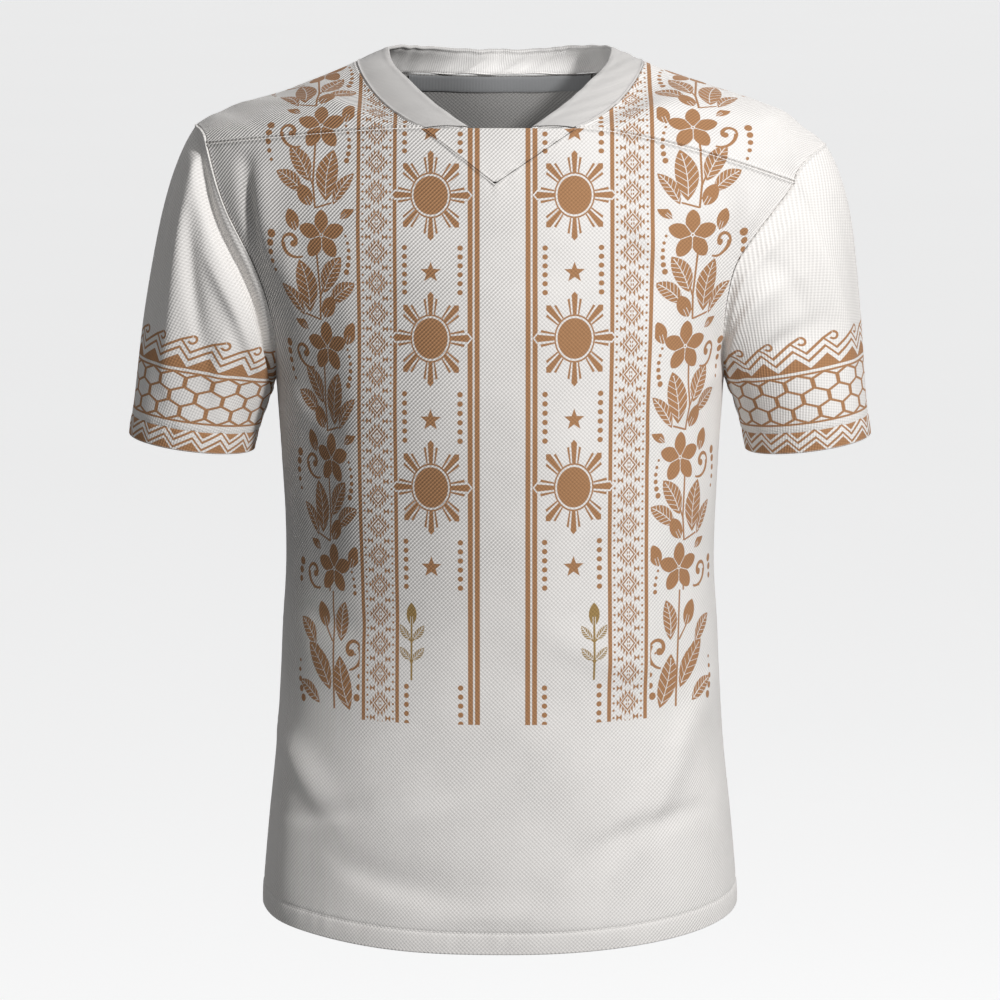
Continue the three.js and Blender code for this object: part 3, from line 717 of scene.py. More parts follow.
def wovenBand(x, y):  # nested diamonds with a toothed outline, bow-ties between them, a dotted edge
    sx, sy = abs(x), abs(centred(y, printFacts["bandPeriod"]))
    line = abs((sx / 4.9 + sy / 5.9 - 1.0) * 3.77) - 0.57
    marks = most(abs(sx - 0.85) - 0.45, abs(sy - 1.55) - 0.9)
    tooth = ((sx - 0.4) / 2.15) % 1.0
    height = sy + sx * 1.2 - 7.9
    teeth = most(0.0 - height * 0.64, (height - tooth * 6.5) * 0.45, (tooth - 0.93) * 2.15, sx - 6.85, 0.4 - sx)
    arrow = most(sy - (sx - 6.7) * 1.1, sx - 9.1)
    bx, by = abs(sx - 7.0), abs(printFacts["bandPeriod"] / 2 - sy)
    bow = most((by - bx) * 0.7 - 0.25, bx - 2.3)
    dots = reach(abs(x) - 11.6, centred(y, printFacts["bandPeriod"] / 4)) - 0.95
    return least(line, marks, teeth, arrow, bow, dots)


# the flower border, in its own arrangement: places are out from the flowers' line and up from the middle of a repeat
flowerUp = 23.0
# x and y of the middle, lean, half length, half width, bend
borderLeaves = [(-5, -17, 99, 21, 9.3, -0.006), (17, -7, 60, 16.5, 7.7, 0.007), (26.5, -21, 36, 14, 6.6, 0.009),
                (-17.5, -27, 125, 15.5, 5.4, -0.009)]
borderBuds = [(14, -33.5, 60, 9.8, 6.2)]
borderStalks = [(5, -46, 7, -24, 0.9), (7, -24, 5, 9, 0.9), (9.5, -19.5, 6.4, -27, 0.75),
                (15.8, -28.5, 6, -37, 0.75), (-8.6, -39.7, 5.2, -43.8, 0.75)]
flowerBuds = [(-23.5, 35, 108, 9.2, 5.7), (24.5, 41.5, 40, 8.0, 3.8)]
outerHooks = [(27.5, 17.5, 6.4, 0, 1)]  # x, y, size, lean, hand
outerDots = [(0, 10, 46, 2.4, -24, 22, 5, 2.4), (17, 8, 41, 1.75, 155, 203, 6, 1.4)]
# the foot of the border, from its own middle
footUp = -105.0
footLeaves = [(-11, -25, 76, 22, 8.8, -0.005), (12, -12, 54, 22, 8.6, 0.006), (25, -34, 30, 15, 5.8, 0.01),
              (-9, 25, 98, 16.5, 7.0, -0.008), (28, 14, 44, 15, 6.2, 0.012)]
footBuds = [(12, 28, 66, 11, 6.4)]
footStalks = [(-3, -46, -1, 6, 0.95), (-1, 6, 1, 47, 0.9), (8, 18, 0.5, 8, 0.75), (17.5, 3, 6, -8, 0.75)]
footHooks = [(-21, 3, 7, 30, -1)]
footDots = [(16, -20, 44, 2.0, 148, 206, 5, 2.6), (-6, -20, 46, 2.2, -34, 14, 5, -2.2)]


def motifs(x, y, leaves=(), buds=(), stalks=(), hooks=(), dots=()):
    parts = []
    for x0, y0, degrees, length, width, bend in leaves:
        parts.append(veinedLeaf(*turned(x - x0, y - y0, degrees), length, width, bend))
    for x0, y0, degrees, length, width in buds:
        parts.append(budShape(*turned(x - x0, y - y0, degrees), length, width))
    for x0, y0, x1, y1, half in stalks:
        parts.append(strand(x, y, x0, y0, x1, y1, half))
    for x0, y0, size, degrees, hand in hooks:
        parts.append(hookShape(*turned((x - x0) * hand, y - y0, degrees), size))
    for x0, y0, *shape in dots:
        parts.append(dotArc(x - x0, y - y0, *shape))
    return parts


def flowerBorder(au, v):
    facts = printFacts
    start = facts["flowerAt"] - flowerUp - facts["floralPeriod"] / 2
    place = (v - start) / facts["floralPeriod"]
    cell = floored(place)
    flip = 1.0 - (cell % 2.0) * 2.0
    y = (place - cell - 0.5) * facts["floralPeriod"]
    s = au - facts["floralOut"]
    around, below = (s - 1.0) * flip + 1.0, (s - 5.0) * flip + 5.0
    parts = motifs(below, y, borderLeaves, borderBuds, borderStalks)
    parts += motifs(around, y, buds=flowerBuds) + motifs(s, y, hooks=outerHooks, dots=outerDots)
    rows = most(least(*parts, flowerShape(s, y - flowerUp, 19.0, 90)), -58.0 - v)
    foot = most(least(*motifs(s, v - footUp, footLeaves, footBuds, footStalks, footHooks, footDots)), v + 57.0)
    return most(least(rows, foot), facts["floralFoot"] - v, 118.8 - au, au - 199.0)


# an upright twig with leaves in pairs and a bud at its top
sprigLeaves = [(78, -85, 52, 7.6, 3.1, -0.01), (66, -85, 128, 7.6, 3.1, 0.01), (77.6, -102, 46, 7.2, 3.0, -0.01),
               (66.4, -102, 134, 7.2, 3.0, 0.01)]
sprigBuds = [(72, -70, 90, 9.5, 4.3)]
sprigStalks = [(72, -122, 72, -79, 0.85), (72, -92, 74, -90, 0.7), (72, -92, 70, -90, 0.7), (72, -109, 73, -107, 0.7),
               (72, -109, 71, -107, 0.7)]


def bodyPrint(b):  # the share of ink on the front, and the share of the paler sprigs
    facts = printFacts
    u, v = b.place()
    au = abs(u)
    up = v + most(v - 150.0, 0.0) * 0.048
    sunUp = centred(up - facts["sunAt"], facts["period"])
    sun, outline = sunShapes(au - facts["sunOut"], sunUp / facts["stretch"])
    sunOff = facts["sunFoot"] - up
    sun, outline = most(sun, sunOff), most(outline, sunOff)
    starUp = centred(up - facts["sunAt"] + facts["starDown"], facts["period"])
    star = most(starShape(au - facts["sunOut"], starUp / 1.05, 8.4), -60.0 - up)
    dotUp = centred(up - facts["sunAt"] + facts["dotDown"], facts["period"])
    dotPlace = centred(dotUp - 3.62, 7.25)
    dots = reach(least(abs(au - 32.8), abs(au - 76.3)), dotPlace) - 2.15
    dots = most(dots, abs(dotUp) - 21.7)
    stripes = least(abs(au - 19.65), abs(au - 25.05)) - 1.95
    lines = abs(abs(au - facts["bandOut"]) - facts["bandHalf"]) - 1.6
    bars = most(least(stripes, lines), 0.0 - outline)
    woven = most(wovenBand(au - facts["bandOut"], v), abs(au - facts["bandOut"]) - 13.4)
    middle = most(least(sun, star, dots, bars, woven), facts["foot"] - v)
    sprig = least(*motifs(au, v, sprigLeaves, sprigBuds, sprigStalks))
    return inked(least(middle, flowerBorder(au, v))), inked(sprig)


def sleevePrint(b):  # bands up from the hem: zigzags, a hexagon net, triangles, zigzags and curling waves
    a, up = b.place()
    turns = 14.0 / 340
    zig = (a * turns) % 1.0
    slope = least(zig / 0.64, (1.0 - zig) / 0.36)  # a slow rise and a quick fall
    upper = up - slope * 9.6
    high = least(abs(upper - 79.0), abs(upper - 72.8)) - 1.2
    triangles = most((upper - 66.9) * 0.85, 66.4 - up)
    past = centred(zig - 0.64 - 0.17, 1.0) * 24.3  # out along the curl, from its middle
    rise = up - 88.6
    arm = most(abs(rise - past * 0.45 - 1.86) * 0.91 - 0.95, abs(past + 0.37) - 3.9)
    curl = ringPart(past - 4.07, rise - 0.6, 2.9, 0.95, -155, 95)
    borders = least(abs(up - 66.4), abs(up - 62.6), abs(up - 22.9)) - 0.85
    width, pitch = 340 / 16.0, 11.75
    slant = 0.42
    peak = slant * width / 4 + pitch / 2
    rowPlace = (up - 22.9 - peak + pitch / 2) / pitch
    row = floored(rowPlace)
    hx = abs(centred(a + (row % 2.0) * (width / 2), width))
    hy = abs((rowPlace - row - 0.5) * pitch)
    strut = most(abs(hx - width / 2) - 1.85, hy - (peak - slant * width / 2) - 0.6)
    roof = abs(hx * slant + hy - peak) * 0.92 - 1.0
    net = most(least(strut, roof), 22.4 - up, up - 62.9)
    lower = up - slope * 8.9
    low = least(abs(lower - 7.6), abs(lower - 1.6)) - 1.1
    hanging = most((10.9 - lower) * 0.85, up - 16.0)
    standing = most((lower + 1.6) * 0.85, 0.0 - up)
    return inked(most(least(high, triangles, arm, curl, borders, net, low, hanging, standing), up - 95.0))


# the finishes

# painted shade: the inside colour is the same white cloth darkened for the shade within the shirt
clothColors = dict(cloth=(0.87, 0.842, 0.815, 1), inside=(0.3, 0.292, 0.284, 1), ink=(0.43, 0.222, 0.106, 1),
                   # painted light: the rib's inner face coloured lighter than its outer face, though both are one rib
                   sprig=(0.37, 0.24, 0.09, 1), rib=(0.60, 0.583, 0.568, 1), ribInsidePaintedLight=(0.84, 0.82, 0.80, 1),
                   tape=(0.235, 0.238, 0.243, 1), thread=(0.83, 0.81, 0.79, 1))
# the last three: the least share of deeper knit and painted shade, then how dark the painted shade in the knit's
# hollows is and how much of it shows
weave = dict(pitch=2.3, depth=0.62, main=0.6, cross=0.1, fine=0.62, fineHeight=0.03, sleeveTurn=30,
             least=0.3, holesAndPaintedShade=0.28, holesAndPaintedShadeShare=0.85)


def darker(color, share):
    return tuple(part * share for part in color[:3]) + (1,)


def woven(b, base, value, height, depth, rough, specular):  # what every cloth ends with
    base = b.node("HueSaturation", None, {"Value": value, "Color": base})
    relief = b.node("Bump", None, {"Strength": 1.0, "Distance": depth * mm, "Height": height})
    shader = b.node("BsdfPrincipled", None, {
        "Base Color": base, "Roughness": rough, "Normal": relief, "Sheen Weight": 0.06, "Sheen Roughness": 0.5,
        "Specular IOR Level": specular})
    b.node("OutputMaterial", None, {"Surface": shader})
    return b.material


def clothFinish(name, color, printing=None):  # a fine mesh knit of crossing ribs, the risers to one side fuller
    b = board(name)
    u, v = b.place()
    ru, rv = turned(u, v, weave["sleeveTurn"]) if printing == "sleeve" else (u, v)
    step = 2 * math.pi / (weave["pitch"] * math.sqrt(2))
    ridges = sine((ru - rv) * step)
    counter = sine((ru + rv) * step)
    yarns = sine((u + v) * (2 * math.pi / (weave["fine"] * math.sqrt(2))))
    soft = b.noise(b.join(u, v), 0.02, 3.0) - 0.5  # broad, for the tone
    slub = b.noise(b.join(u * 0.9, v * 0.25), 1.0, 2.0) - 0.5  # fine, for uneven yarns
    # how deep the knit stands and how much painted shade its hollows take
    knitDepthAndPaintedShade = weave["least"]
    if printing == "body":  # painted shade: over the right of the chest, where the key light grazes the cloth, the knit's ridges stand deeper and its hollows are painted darker; both fade towards the left and the hem
        sideways = inked(u + 18.0, 150)
        upwards = inked(-90.0 - v, 150)
        forward = inked(v - 410.0, 60)
        knitDepthAndPaintedShade = sideways * upwards * forward * (1 - weave["least"]) + soft * 0.6 + weave["least"]
    height = ridges * (knitDepthAndPaintedShade * 0.8 + 0.2) * weave["main"] + counter * weave["cross"] + yarns * weave["fineHeight"]
    crossing = counter * 0.5 + ridges * 0.5
    # where the knit's hollows lie: partly its open holes, partly painted shade
    holesAndPaintedShade = inked(crossing + knitDepthAndPaintedShade * (ridges - crossing) * 0.7 + 0.2, 1.6) * (knitDepthAndPaintedShade * weave["holesAndPaintedShadeShare"])

    def shaded(tone):  # painted shade: darker in the hollows of the knit, partly for its open holes
        return b.blend(holesAndPaintedShade, tone, darker(tone, weave["holesAndPaintedShade"]))

    base = shaded(color)
    if printing:
        ink, sprig = bodyPrint(b) if printing == "body" else (sleevePrint(b), None)
        base = b.blend(ink, base, shaded(clothColors["ink"]))
        if sprig:
            base = b.blend(sprig, base, shaded(clothColors["sprig"]))
    return woven(b, base, soft * 0.05 + 1.0, height + slub * 0.2, weave["depth"], ridges * 0.04 + 0.82, 0.25)


def ribFinish(name, color, pitch, depth):
    b = board(name)
    u, v = b.place()
    ridges = sine(u * (2 * math.pi / pitch))
    loops = sine(v * (2 * math.pi / 0.9))
    wear = b.noise(b.join(u, v), 0.05, 3.0) - 0.5
    # painted shade: the troughs between the ribs a little darker
    base = b.blend(inked(ridges * 0.5 + 0.15, 1.5) * 0.16, color, darker(color, 0.7))
    return woven(b, base, wear * 0.06 + 1.0, ridges * 0.5 + loops * 0.1, depth, ridges * 0.03 + 0.86, 0.2)


clothFront = clothFinish("printedCloth", clothColors["cloth"], "body")
clothPlain = clothFinish("plainCloth", clothColors["cloth"])
clothSleeve = clothFinish("sleeveCloth", clothColors["cloth"], "sleeve")
# painted shade: the cloth's inner faces in a darker copy of the cloth
clothInsidePaintedShade = clothFinish("clothInsidePaintedShade", clothColors["inside"])
ribCloth = ribFinish("ribCloth", clothColors["rib"], 1.9, 0.2)
# painted light: the neckband's inner face in a lighter copy of the rib
ribInsidePaintedLight = ribFinish("ribInsidePaintedLight", clothColors["ribInsidePaintedLight"], 1.9, 0.2)
tapeCloth = ribFinish("tapeCloth", clothColors["tape"], 1.2, 0.12)
thread = ribFinish("thread", clothColors["thread"], 0.5, 0.05)
print("finishes made")


# stitches: small bars of thread laid in a row on the cloth

def alongLine(run, values, places):  # points or directions at distances along a line
    return np.stack([np.interp(places, run, values[:, k]) for k in range(3)], -1)


def stitchRow(name, lines, pitch=3.1, length=2.5, width=0.42):
    ends = np.array([-1, -0.75, 0, 0.75, 1]) * length / 2
    girths = np.array([0.05, 0.75, 1, 0.75, 0.05]) * width
    turns = np.arange(6) * math.pi / 3
    around = len(turns)
    points, faces = [], []
    for line, normals, lift in lines:
        run = measured(line, 0)
        middles = np.arange(pitch, run[-1] - pitch, pitch)
        out = alongLine(run, normals, middles)
        centre = alongLine(run, line, middles) + out * lift
        along = unit(alongLine(run, line, middles + 0.8) - alongLine(run, line, middles - 0.8))
        out = unit(out)
        across = unit(np.cross(along, out))
        for i in range(len(middles)):
            base = len(points)
            for end, girth in zip(ends, girths):
                for turn in turns:
                    points.append(centre[i] + along[i] * end + across[i] * girth * math.cos(turn)
                                  + out[i] * girth * 0.7 * math.sin(turn))
            for ring in range(len(ends) - 1):
                start = base + ring * around
                for k in range(around):
                    a, c = start + k, start + (k + 1) % around
                    faces.append((a, c, c + around, a + around))
            faces.append(tuple(range(base + around - 1, base - 1, -1)))
            faces.append(tuple(range(start + around, start + 2 * around)))
    mesh = bpy.data.meshes.new(name)
    mesh.from_pydata((np.array(points) * mm).tolist(), [], faces)
    layer = mesh.uv_layers.new(name="printPlace")
    flat = np.array(points)[np.array([loop.vertex_index for loop in mesh.loops])] * mm
    layer.data.foreach_set("uv", flat[:, [0, 2]].ravel())
    mesh.shade_smooth()
    mesh.materials.append(thread)
    piece = added(name, mesh)
    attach(piece, "root")
    return piece


# the front and the back

# lengths of the lower and upper part of a column, the numbers of their rows and how the faces' waves differ
bodyFacts = dict(middle=2.0, foldFade=22, waveFade=45, lower=428, lowerRows=134, upper=200, upperStep=3.2,
                 backWaves=240)
lowDistances = np.concatenate([hemSteps[:-1], np.linspace(hemSteps[-1], cut["hemDepth"] + bodyFacts["lower"],
                                                          bodyFacts["lowerRows"])])
lowRows = np.where(lowDistances <= cut["hemDepth"], lowDistances / cut["hemDepth"],
                   1 + (lowDistances - cut["hemDepth"]) / bodyFacts["lower"] * steps["lower"])
climbs = spread(bodyFacts["upper"], bodyFacts["upperStep"], start=seamSteps[:1])[1:] / bodyFacts["upper"]
riseRows = np.arccos(1 - climbs) * 2 / math.pi


def bodyCloth(face, folds, flip):
    columns = bodyColumns[None, :]
    grid = np.concatenate([lowerPoint(face, columns, lowRows[:, None]),
                           upperPoint(face, columns, riseRows[:, None])])
    normals = gridNormals(grid, flip)
    x, z = grid[..., 0], grid[..., 2]
    place = np.stack([printOut(levelArc(face, x, z) - bodyFacts["middle"]), profileUp(z)], -1)
    alongRow, alongColumn, side, top = distances(grid)
    edge = np.minimum(side, top)
    height = foldHeight(folds, x, z) * smooth(edge / bodyFacts["foldFade"])
    shift = 0 if face == "front" else bodyFacts["backWaves"]
    height += waveHeight(x + shift, z) * smooth(edge / bodyFacts["waveFade"])
    height += seamHeight(side, alongColumn, 0.35) + seamHeight(top, alongRow, 1.2)
    height += hemHeight(alongColumn, alongRow)
    grid = grid + normals * height[..., None]
    return grid, gridNormals(grid, flip), hemThickness(alongColumn[:, len(bodyColumns) // 2]), place


frontGrid, frontNormals, frontThick, frontPlace = bodyCloth("front", frontFolds, False)
front = shell("front_panel_cloth", frontGrid, frontNormals, frontThick, frontPlace, [clothFront, clothInsidePaintedShade],
              highRound=False)
backGrid, backNormals, backThick, backPlace = bodyCloth("back", backFolds, True)
back = shell("back_panel_cloth", backGrid, backNormals, backThick, backPlace, [clothPlain, clothInsidePaintedShade],
             highRound=False)
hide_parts("front_panel")
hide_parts("back_panel")
print("front", frontGrid.shape, gridArea(frontGrid), "back", gridArea(backGrid))


# the yokes over the shoulders

yokeFacts = dict(out=150, over=185, step=2.8, waves=1.4, waveShare=0.8, fade=20)


def yokeCloth(side):
    facts = yokeFacts
    shares = spread(facts["out"], facts["step"]) / facts["out"]
    overs = spread(facts["over"], facts["step"]) / facts["over"]
    grid = yokePoint(side, shares[None, :], overs[:, None])
    flip = side == "right"
    normals = gridNormals(grid, flip)
    seamShares = np.linspace(0, 1, 60)
    seam = yokeSeam(side, "front", seamShares)
    seamU = np.abs(levelArc("front", seam[:, 0], seam[:, 2]))
    x = np.abs(grid[..., 0])
    u = np.interp(x, np.abs(seam[:, 0]), seamU) + np.maximum(0, x - np.abs(seam[-1, 0]))
    steep = np.linalg.norm(np.diff(grid[..., 1:], axis=0), axis=-1)
    v = profileUp(grid[:1, :, 2]) + np.insert(np.cumsum(steep, axis=0), 0, 0, axis=0)
    place = np.stack([printOut(u * sides[side]["sign"] - bodyFacts["middle"]), v], -1)
    alongRow, alongColumn, sideAway, backAway = distances(grid)
    edge = np.minimum(np.minimum(alongColumn, backAway), sideAway)
    height = seamHeight(alongColumn, alongRow, 1.5) + seamHeight(backAway, alongRow, 1.3)
    height += seamHeight(alongRow, alongColumn, 0.5) + seamHeight(alongRow[:, -1:] - alongRow, alongColumn, 0.3)
    height += (waveHeight(grid[..., 0] * facts["waves"], grid[..., 1] * facts["waves"]) * facts["waveShare"]
               + foldHeight(yokeFolds[side], alongRow, alongColumn)) * smooth(edge / facts["fade"])
    grid = grid + normals * height[..., None]
    piece = shell(f"yoke_{side}_cloth", grid, gridNormals(grid, flip), np.full(len(overs), cut["wall"]), place,
                  [clothFront, clothInsidePaintedShade], lowRound=False, highRound=False)
    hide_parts(f"yoke_{side}")
    return piece, grid


# by distance out from the neckband and back from the front seam
yokeFolds = {"right": [(40, 20, 60, 50, 110, 60, 9, 12, 1.6), (120, 20, 110, 60, 118, 100, 9, 12, -1.8),
                       (60, 120, 80, 140, 110, 150, 10, 12, 1.4), (84, 60, 98, 76, 128, 80, 7, 10, 1.3)],
             "left": [(30, 30, 60, 46, 100, 44, 9, 12, 1.5), (110, 20, 124, 50, 120, 96, 9, 11, 1.8),
                      (52, 130, 80, 128, 120, 148, 10, 12, 1.4), (140, 30, 136, 60, 144, 90, 8, 9, -1.6)]}
yokeRight, yokeRightGrid = yokeCloth("right")
yokeLeft, yokeLeftGrid = yokeCloth("left")
print("yokes", gridArea(yokeRightGrid), gridArea(yokeLeftGrid))


# the sleeves: tubes from the armhole to a turned-up hem

sleeveFacts = dict(columns=150, middleRows=66, loopPoints=90, around=340, foldAround=350, foldDown=185,
                   topFade=11, hemFade=30)


def armholeLoop(side):
    edge = columnCount * sides[side]["sign"]
    even = np.linspace(0, 1, sleeveFacts["loopPoints"])
    rises = np.arccos(1 - even) * 2 / math.pi
    up = upperPoint("front", edge + 0 * even, rises)
    down = upperPoint("back", edge + 0 * even, rises)[::-1]
    over = yokePoint(side, 1.0, even[1:-1])
    up[0, 1] = down[-1, 1] = 0
    loop = np.concatenate([up, over, down])
    run = measured(loop, 0)
    top = run[np.argmax(loop[:, 2])]
    shares = np.linspace(0, 1, sleeveFacts["columns"] + 1)
    places = np.where(shares < 0.5, shares * 2 * top, top + (shares * 2 - 1) * (run[-1] - top))
    return shares, alongLine(run, loop, places)


def ringNormals(grid, flip):
    padded = np.concatenate([grid[:, -2:-1], grid, grid[:, 1:2]], 1)
    return gridNormals(padded, flip)[:, 1:-1]


def sleeveCloth(side):
    shares, starts = armholeLoop(side)
    length = np.linalg.norm(starts - cuffPoint(side, shares * 2 * math.pi), axis=-1)[None, :]
    middle = np.linspace(0, 1, sleeveFacts["middleRows"])[1:-1, None]
    downs = np.concatenate([seamSteps[:, None] / length,
                            mix(seamSteps[-1] / length, 1 - hemSteps[-1] / length, middle),
                            1 - hemSteps[::-1, None] / length])
    grid = sleevePoint(side, starts[None, :], shares[None, :], downs)
    flip = side == "left"
    normals = ringNormals(grid, flip)
    around, down = shares[None, :] * sleeveFacts["foldAround"], downs * sleeveFacts["foldDown"]
    alongRow, alongColumn, underAway, hemUp = distances(grid)
    fade = smooth(alongColumn / sleeveFacts["topFade"]) * smooth(hemUp / sleeveFacts["hemFade"])
    folds = foldHeight(sleeveFolds[side], around + 0 * down, down)
    height = (folds + waveHeight(around * 1.2, down * 1.5) * 0.8) * fade
    height += seamHeight(alongColumn, alongRow, 1.3)
    height += seamHeight(underAway, alongColumn, 0.3) * smooth(alongColumn / 6)
    height += hemHeight(hemUp, alongRow) * (0.3 + 0.7 * smooth(alongColumn / 12))
    grid = grid + normals * height[..., None]
    grid[:, -1] = grid[:, 0]
    place = np.stack([np.broadcast_to(shares * sleeveFacts["around"] * sides[side]["sign"], hemUp.shape), hemUp], -1)
    newNormals = ringNormals(grid, flip)
    piece = shell(f"sleeve_{side}_cloth", grid, newNormals, hemThickness(hemUp[:, 0]), place,
                  [clothSleeve, clothInsidePaintedShade], ring=True, lowRound=False)
    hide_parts(f"sleeve_{side}")
    return piece, grid, newNormals


sleeveRight, sleeveRightGrid, sleeveRightNormals = sleeveCloth("right")
sleeveLeft, sleeveLeftGrid, sleeveLeftNormals = sleeveCloth("left")
print("sleeves", gridArea(sleeveRightGrid), gridArea(sleeveLeftGrid))


# the neckband, the insert and the neck tape

bandFacts = dict(wall=2.4, swell=1.8, edgeSwell=0.5, edgeAt=3, edgeWidth=2.4, high=44, highStep=1.7, longStep=1.9,
                 gap=0.3, endFade=25, backFrom=5.2, ripple=0.75, ripplePitch=46, crease=0.62, creaseFade=12,
                 edgeWave=0.25, edgeReach=6, edgePitch=21)


def neckbandCloth():
    facts = bandFacts
    fine = np.linspace(0, neckRows[-1], 500)
    run = measured(neckSeam(1, fine), 0)
    half = np.interp(spread(run[-1], facts["longStep"], end=seamSteps[:1]), run, fine)
    places = np.concatenate([half, half[-2::-1]])
    signs = np.concatenate([-np.ones(len(half)), np.ones(len(half) - 1)])
    seam, edge = neckSeam(signs, places), neckEdge(signs, places)
    shares = spread(facts["high"], facts["highStep"], end=np.array([0, 0.6, 1.4, 2.4, 3.6])) / facts["high"]
    start = seam + unit(edge - seam) * facts["gap"]
    grid = start[None] + (edge - start)[None] * shares[:, None, None]
    normals = gridNormals(grid, True)
    alongRow, alongColumn, ends, inward = distances(grid)
    turn = alongRow * 2 * math.pi / facts["ripplePitch"]
    backShare = smooth((places - facts["backFrom"]) / 2)[None, :]
    ripple = np.sin(turn + 1.1 * np.sin(turn * 0.4)) * backShare * facts["ripple"] + np.sin(turn * 1.7 + 2) * 0.25
    lean = alongRow + alongColumn * 0.5
    creases = np.sin(lean / 2.9 + 1.7 * np.sin(lean / 9.7)) * (0.65 + 0.35 * np.sin(lean / 14 + 1))
    ripple = ripple + creases * backShare * smooth(alongColumn / facts["creaseFade"]) * facts["crease"]
    height = facts["swell"] * np.sin(math.pi * shares)[:, None] + seamHeight(alongColumn, alongRow, 0.9)
    height += facts["edgeSwell"] * bump(inward - facts["edgeAt"], facts["edgeWidth"])
    height += ripple * smooth(ends / facts["endFade"])
    edgeTurn = alongRow * 2 * math.pi / facts["edgePitch"]
    height += facts["edgeWave"] * bump(inward, facts["edgeReach"]) * np.sin(edgeTurn + np.sin(alongRow / 17))
    grid = grid + normals * height[..., None]
    normals = gridNormals(grid, True)
    normals[:, [0, -1], 2] = 0
    normals[:, [0, -1]] = unit(normals[:, [0, -1]])
    place = np.stack([alongRow[:1] + 0 * alongColumn, alongColumn], -1)
    piece = shell("neckband_rib", grid, normals, np.full(len(shares), facts["wall"]), place, [ribCloth, ribInsidePaintedLight],
                  lowRound=False)
    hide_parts("neckband")
    return piece, grid


# the insert's half widths to the right and left, and how far it stays from the V's tip and from the neckband
insertFacts = dict(high=60, rowStep=1.8, wide=118, columnStep=2.4, tip=0.03, right=59.4, left=58.9, tipGap=0.5,
                   topGap=0.3, sunk=0.15, wall=1.3)


def insertCloth():
    facts = insertFacts
    rows = spread(facts["high"], facts["rowStep"], start=seamSteps[:3], end=seamSteps[:4]) / facts["high"]
    across = spread(facts["wide"], facts["columnStep"], start=seamSteps[:5], end=seamSteps[:5])
    across = across / facts["wide"] * 2 - 1
    share = mix(facts["tip"], 1, rows)[:, None]
    half = np.where(across < 0, facts["right"], facts["left"])
    x = mix(cut["tipX"], across[None, :] * half, share)
    z = mix(cut["tipZ"] + facts["tipGap"], cut["neckLevel"] - facts["topGap"], share) + 0 * x
    grid = torso("front", x, z)
    normals = gridNormals(grid, False)
    alongRow, alongColumn, side, _ = distances(grid)
    height = seamHeight(side, alongColumn, 0.4) * smooth(alongRow[:, -1:] / 6) - facts["sunk"]
    grid = grid + normals * height[..., None]
    place = np.stack([levelArc("front", x, z) - bodyFacts["middle"], profileUp(z)], -1)
    piece = shell("neck_insert_cloth", grid, gridNormals(grid, False), np.full(len(rows), facts["wall"]), place,
                  [clothFront, clothInsidePaintedShade], lowRound=False, highRound=False)
    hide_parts("neck_insert")
    return piece, grid


tapeFacts = dict(long=148, step=2.0, rows=9, width=12, below=0.9, inside=1.9, swell=0.35, wave=0.18, wall=0.9)


def neckTapeCloth():
    facts = tapeFacts
    across = spread(facts["long"], facts["step"], start=seamSteps[:4], end=seamSteps[:4]) / facts["long"] * 2 - 1
    up = np.linspace(0, 1, facts["rows"])[:, None]
    x = across[None, :] * (facts["long"] / 2) + 0 * up
    seamPlace = mix(neckRows[-1], cornerRow, np.abs(x) / corner["back"])
    z = neckSeam(1, seamPlace)[..., 2] - facts["below"] - facts["width"] * (1 - up)
    grid = torso("back", x, z)
    normals = gridNormals(grid, True)
    alongRow = measured(grid, 1)
    swell = facts["swell"] * np.sin(up * math.pi) ** 0.5 - facts["swell"]
    grid = grid - normals * (facts["inside"] + swell)[..., None]
    grid = grid - normals * (facts["wave"] * np.sin(alongRow / 7 + np.sin(alongRow / 19)))[..., None]
    place = np.stack([alongRow, up * facts["width"] + 0 * x], -1)
    piece = shell("neck_tape_cloth", grid, gridNormals(grid, True), np.full(facts["rows"], facts["wall"]), place,
                  [tapeCloth, tapeCloth])
    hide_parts("neck_tape")
    return piece, grid


neckband, neckbandGrid = neckbandCloth()
insert, insertGrid = insertCloth()
neckTape, tapeGrid = neckTapeCloth()
print("neckband", gridArea(neckbandGrid), "insert", gridArea(insertGrid), "tape", gridArea(tapeGrid))


# rows of thread along the hems

hemRow = int(np.argmin(np.abs(lowDistances - hem["stitchAt"])))
bodyStitches = stitchRow("hem_stitches", [(frontGrid[hemRow], frontNormals[hemRow], 0.12),
                                          (backGrid[hemRow], backNormals[hemRow], 0.12)])
sleeveRow = -1 - int(np.argmin(np.abs(hemSteps - hem["stitchAt"])))
sleeveStitches = stitchRow("sleeve_hem_stitches", [
    (sleeveRightGrid[sleeveRow], sleeveRightNormals[sleeveRow], 0.12),
    (sleeveLeftGrid[sleeveRow], sleeveLeftNormals[sleeveRow], 0.12)])
yokeStitches = stitchRow("yoke_stitches", [
    (yokeRightGrid[0], gridNormals(yokeRightGrid, True)[0], 0.45),
    (yokeLeftGrid[0], gridNormals(yokeLeftGrid, False)[0], 0.45)], pitch=2.6, width=0.5)
print("stitches sewn")


# light and floor

lightFacts = dict(middle=(0, 0, -0.3), keyTurn=35, keyRise=29, keyAway=3.0, keySize=0.36, keyPower=81,
                  backTurn=172, backRise=30, backPower=1.3, backAngle=40, topTurn=-8, topRise=56, topPower=0.2,
                  topAngle=60, fillPower=0.36, fillFrom=(-0.035, -0.045, -0.085), fillAt=(0.065, 0.065, -0.012),
                  fillCone=85, fillSize=0.02, worldStrength=0.2, floorLevel=-1.45, floorHalf=60, floorGlow=0.36)


def aimed(kind, name, turn, rise, power):
    data = bpy.data.lights.new(name, kind)
    data.energy = power
    lamp = added(name, data)
    lamp.rotation_euler = (math.radians(90 - rise), 0, math.radians(turn))
    return lamp


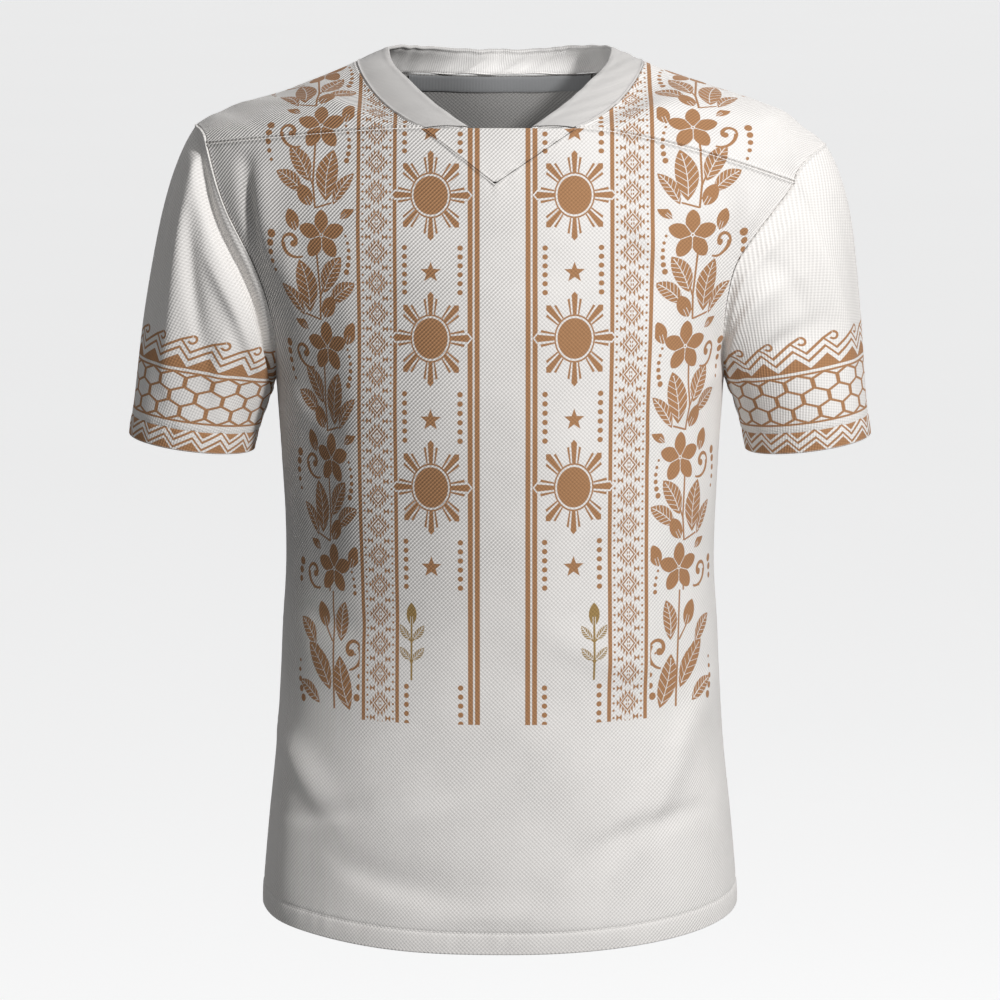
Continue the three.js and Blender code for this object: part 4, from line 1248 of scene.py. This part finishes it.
key = aimed("AREA", "key", lightFacts["keyTurn"], lightFacts["keyRise"], lightFacts["keyPower"])
key.data.shape = "DISK"
key.data.size = lightFacts["keySize"]
turn, rise = math.radians(lightFacts["keyTurn"]), math.radians(lightFacts["keyRise"])
toKey = np.array([math.sin(turn) * math.cos(rise), -math.cos(turn) * math.cos(rise), math.sin(rise)])
key.location = np.array(lightFacts["middle"]) + toKey * lightFacts["keyAway"]
behind = aimed("SUN", "behind", lightFacts["backTurn"], lightFacts["backRise"], lightFacts["backPower"])
above = aimed("SUN", "above", lightFacts["topTurn"], lightFacts["topRise"], lightFacts["topPower"])
behind.data.angle, above.data.angle = math.radians(lightFacts["backAngle"]), math.radians(lightFacts["topAngle"])
# the studio light that reaches the inside of the neckband
fill = aimed("SPOT", "neckFill", 0, 0, lightFacts["fillPower"])
fill.location = lightFacts["fillFrom"]
aim = np.array(lightFacts["fillAt"]) - np.array(fill.location)
fill.rotation_euler = (math.pi / 2 + math.atan2(aim[2], math.hypot(aim[0], aim[1])), 0, math.atan2(-aim[0], aim[1]))
fill.data.spot_size, fill.data.spot_blend = math.radians(lightFacts["fillCone"]), 1.0
fill.data.shadow_soft_size = lightFacts["fillSize"]
world = bpy.data.worlds.new("studio")
world.use_nodes = True
world.node_tree.nodes["Background"].inputs["Color"].default_value = (0.98, 0.99, 1.0, 1)
world.node_tree.nodes["Background"].inputs["Strength"].default_value = lightFacts["worldStrength"]
scene.world = world
scene.view_settings.view_transform = "Standard"

floorMesh = bpy.data.meshes.new("floor")
floorHalf, floorLevel = lightFacts["floorHalf"], lightFacts["floorLevel"]
floorCorners = [(x * floorHalf, y * floorHalf, floorLevel) for x, y in ((-1, -1), (1, -1), (1, 1), (-1, 1))]
floorMesh.from_pydata(floorCorners, [], [(0, 1, 2, 3)])
floor = added("floor", floorMesh)
f = board("floor")
grain = f.noise(f.node("TexCoord", None, None, output=3), 0.7, 2.0)
f.node("OutputMaterial", None, {"Surface": f.node("BsdfPrincipled", None, {
    "Base Color": f.blend(grain, (0.94, 0.94, 0.94, 1), (0.97, 0.97, 0.97, 1)), "Roughness": 0.9,
    "Specular IOR Level": 0.1, "Emission Color": (1, 1, 1, 1), "Emission Strength": lightFacts["floorGlow"]})})
floorMesh.materials.append(f.material)
floor.visible_diffuse = False  # the floor throws no light up into the shirt
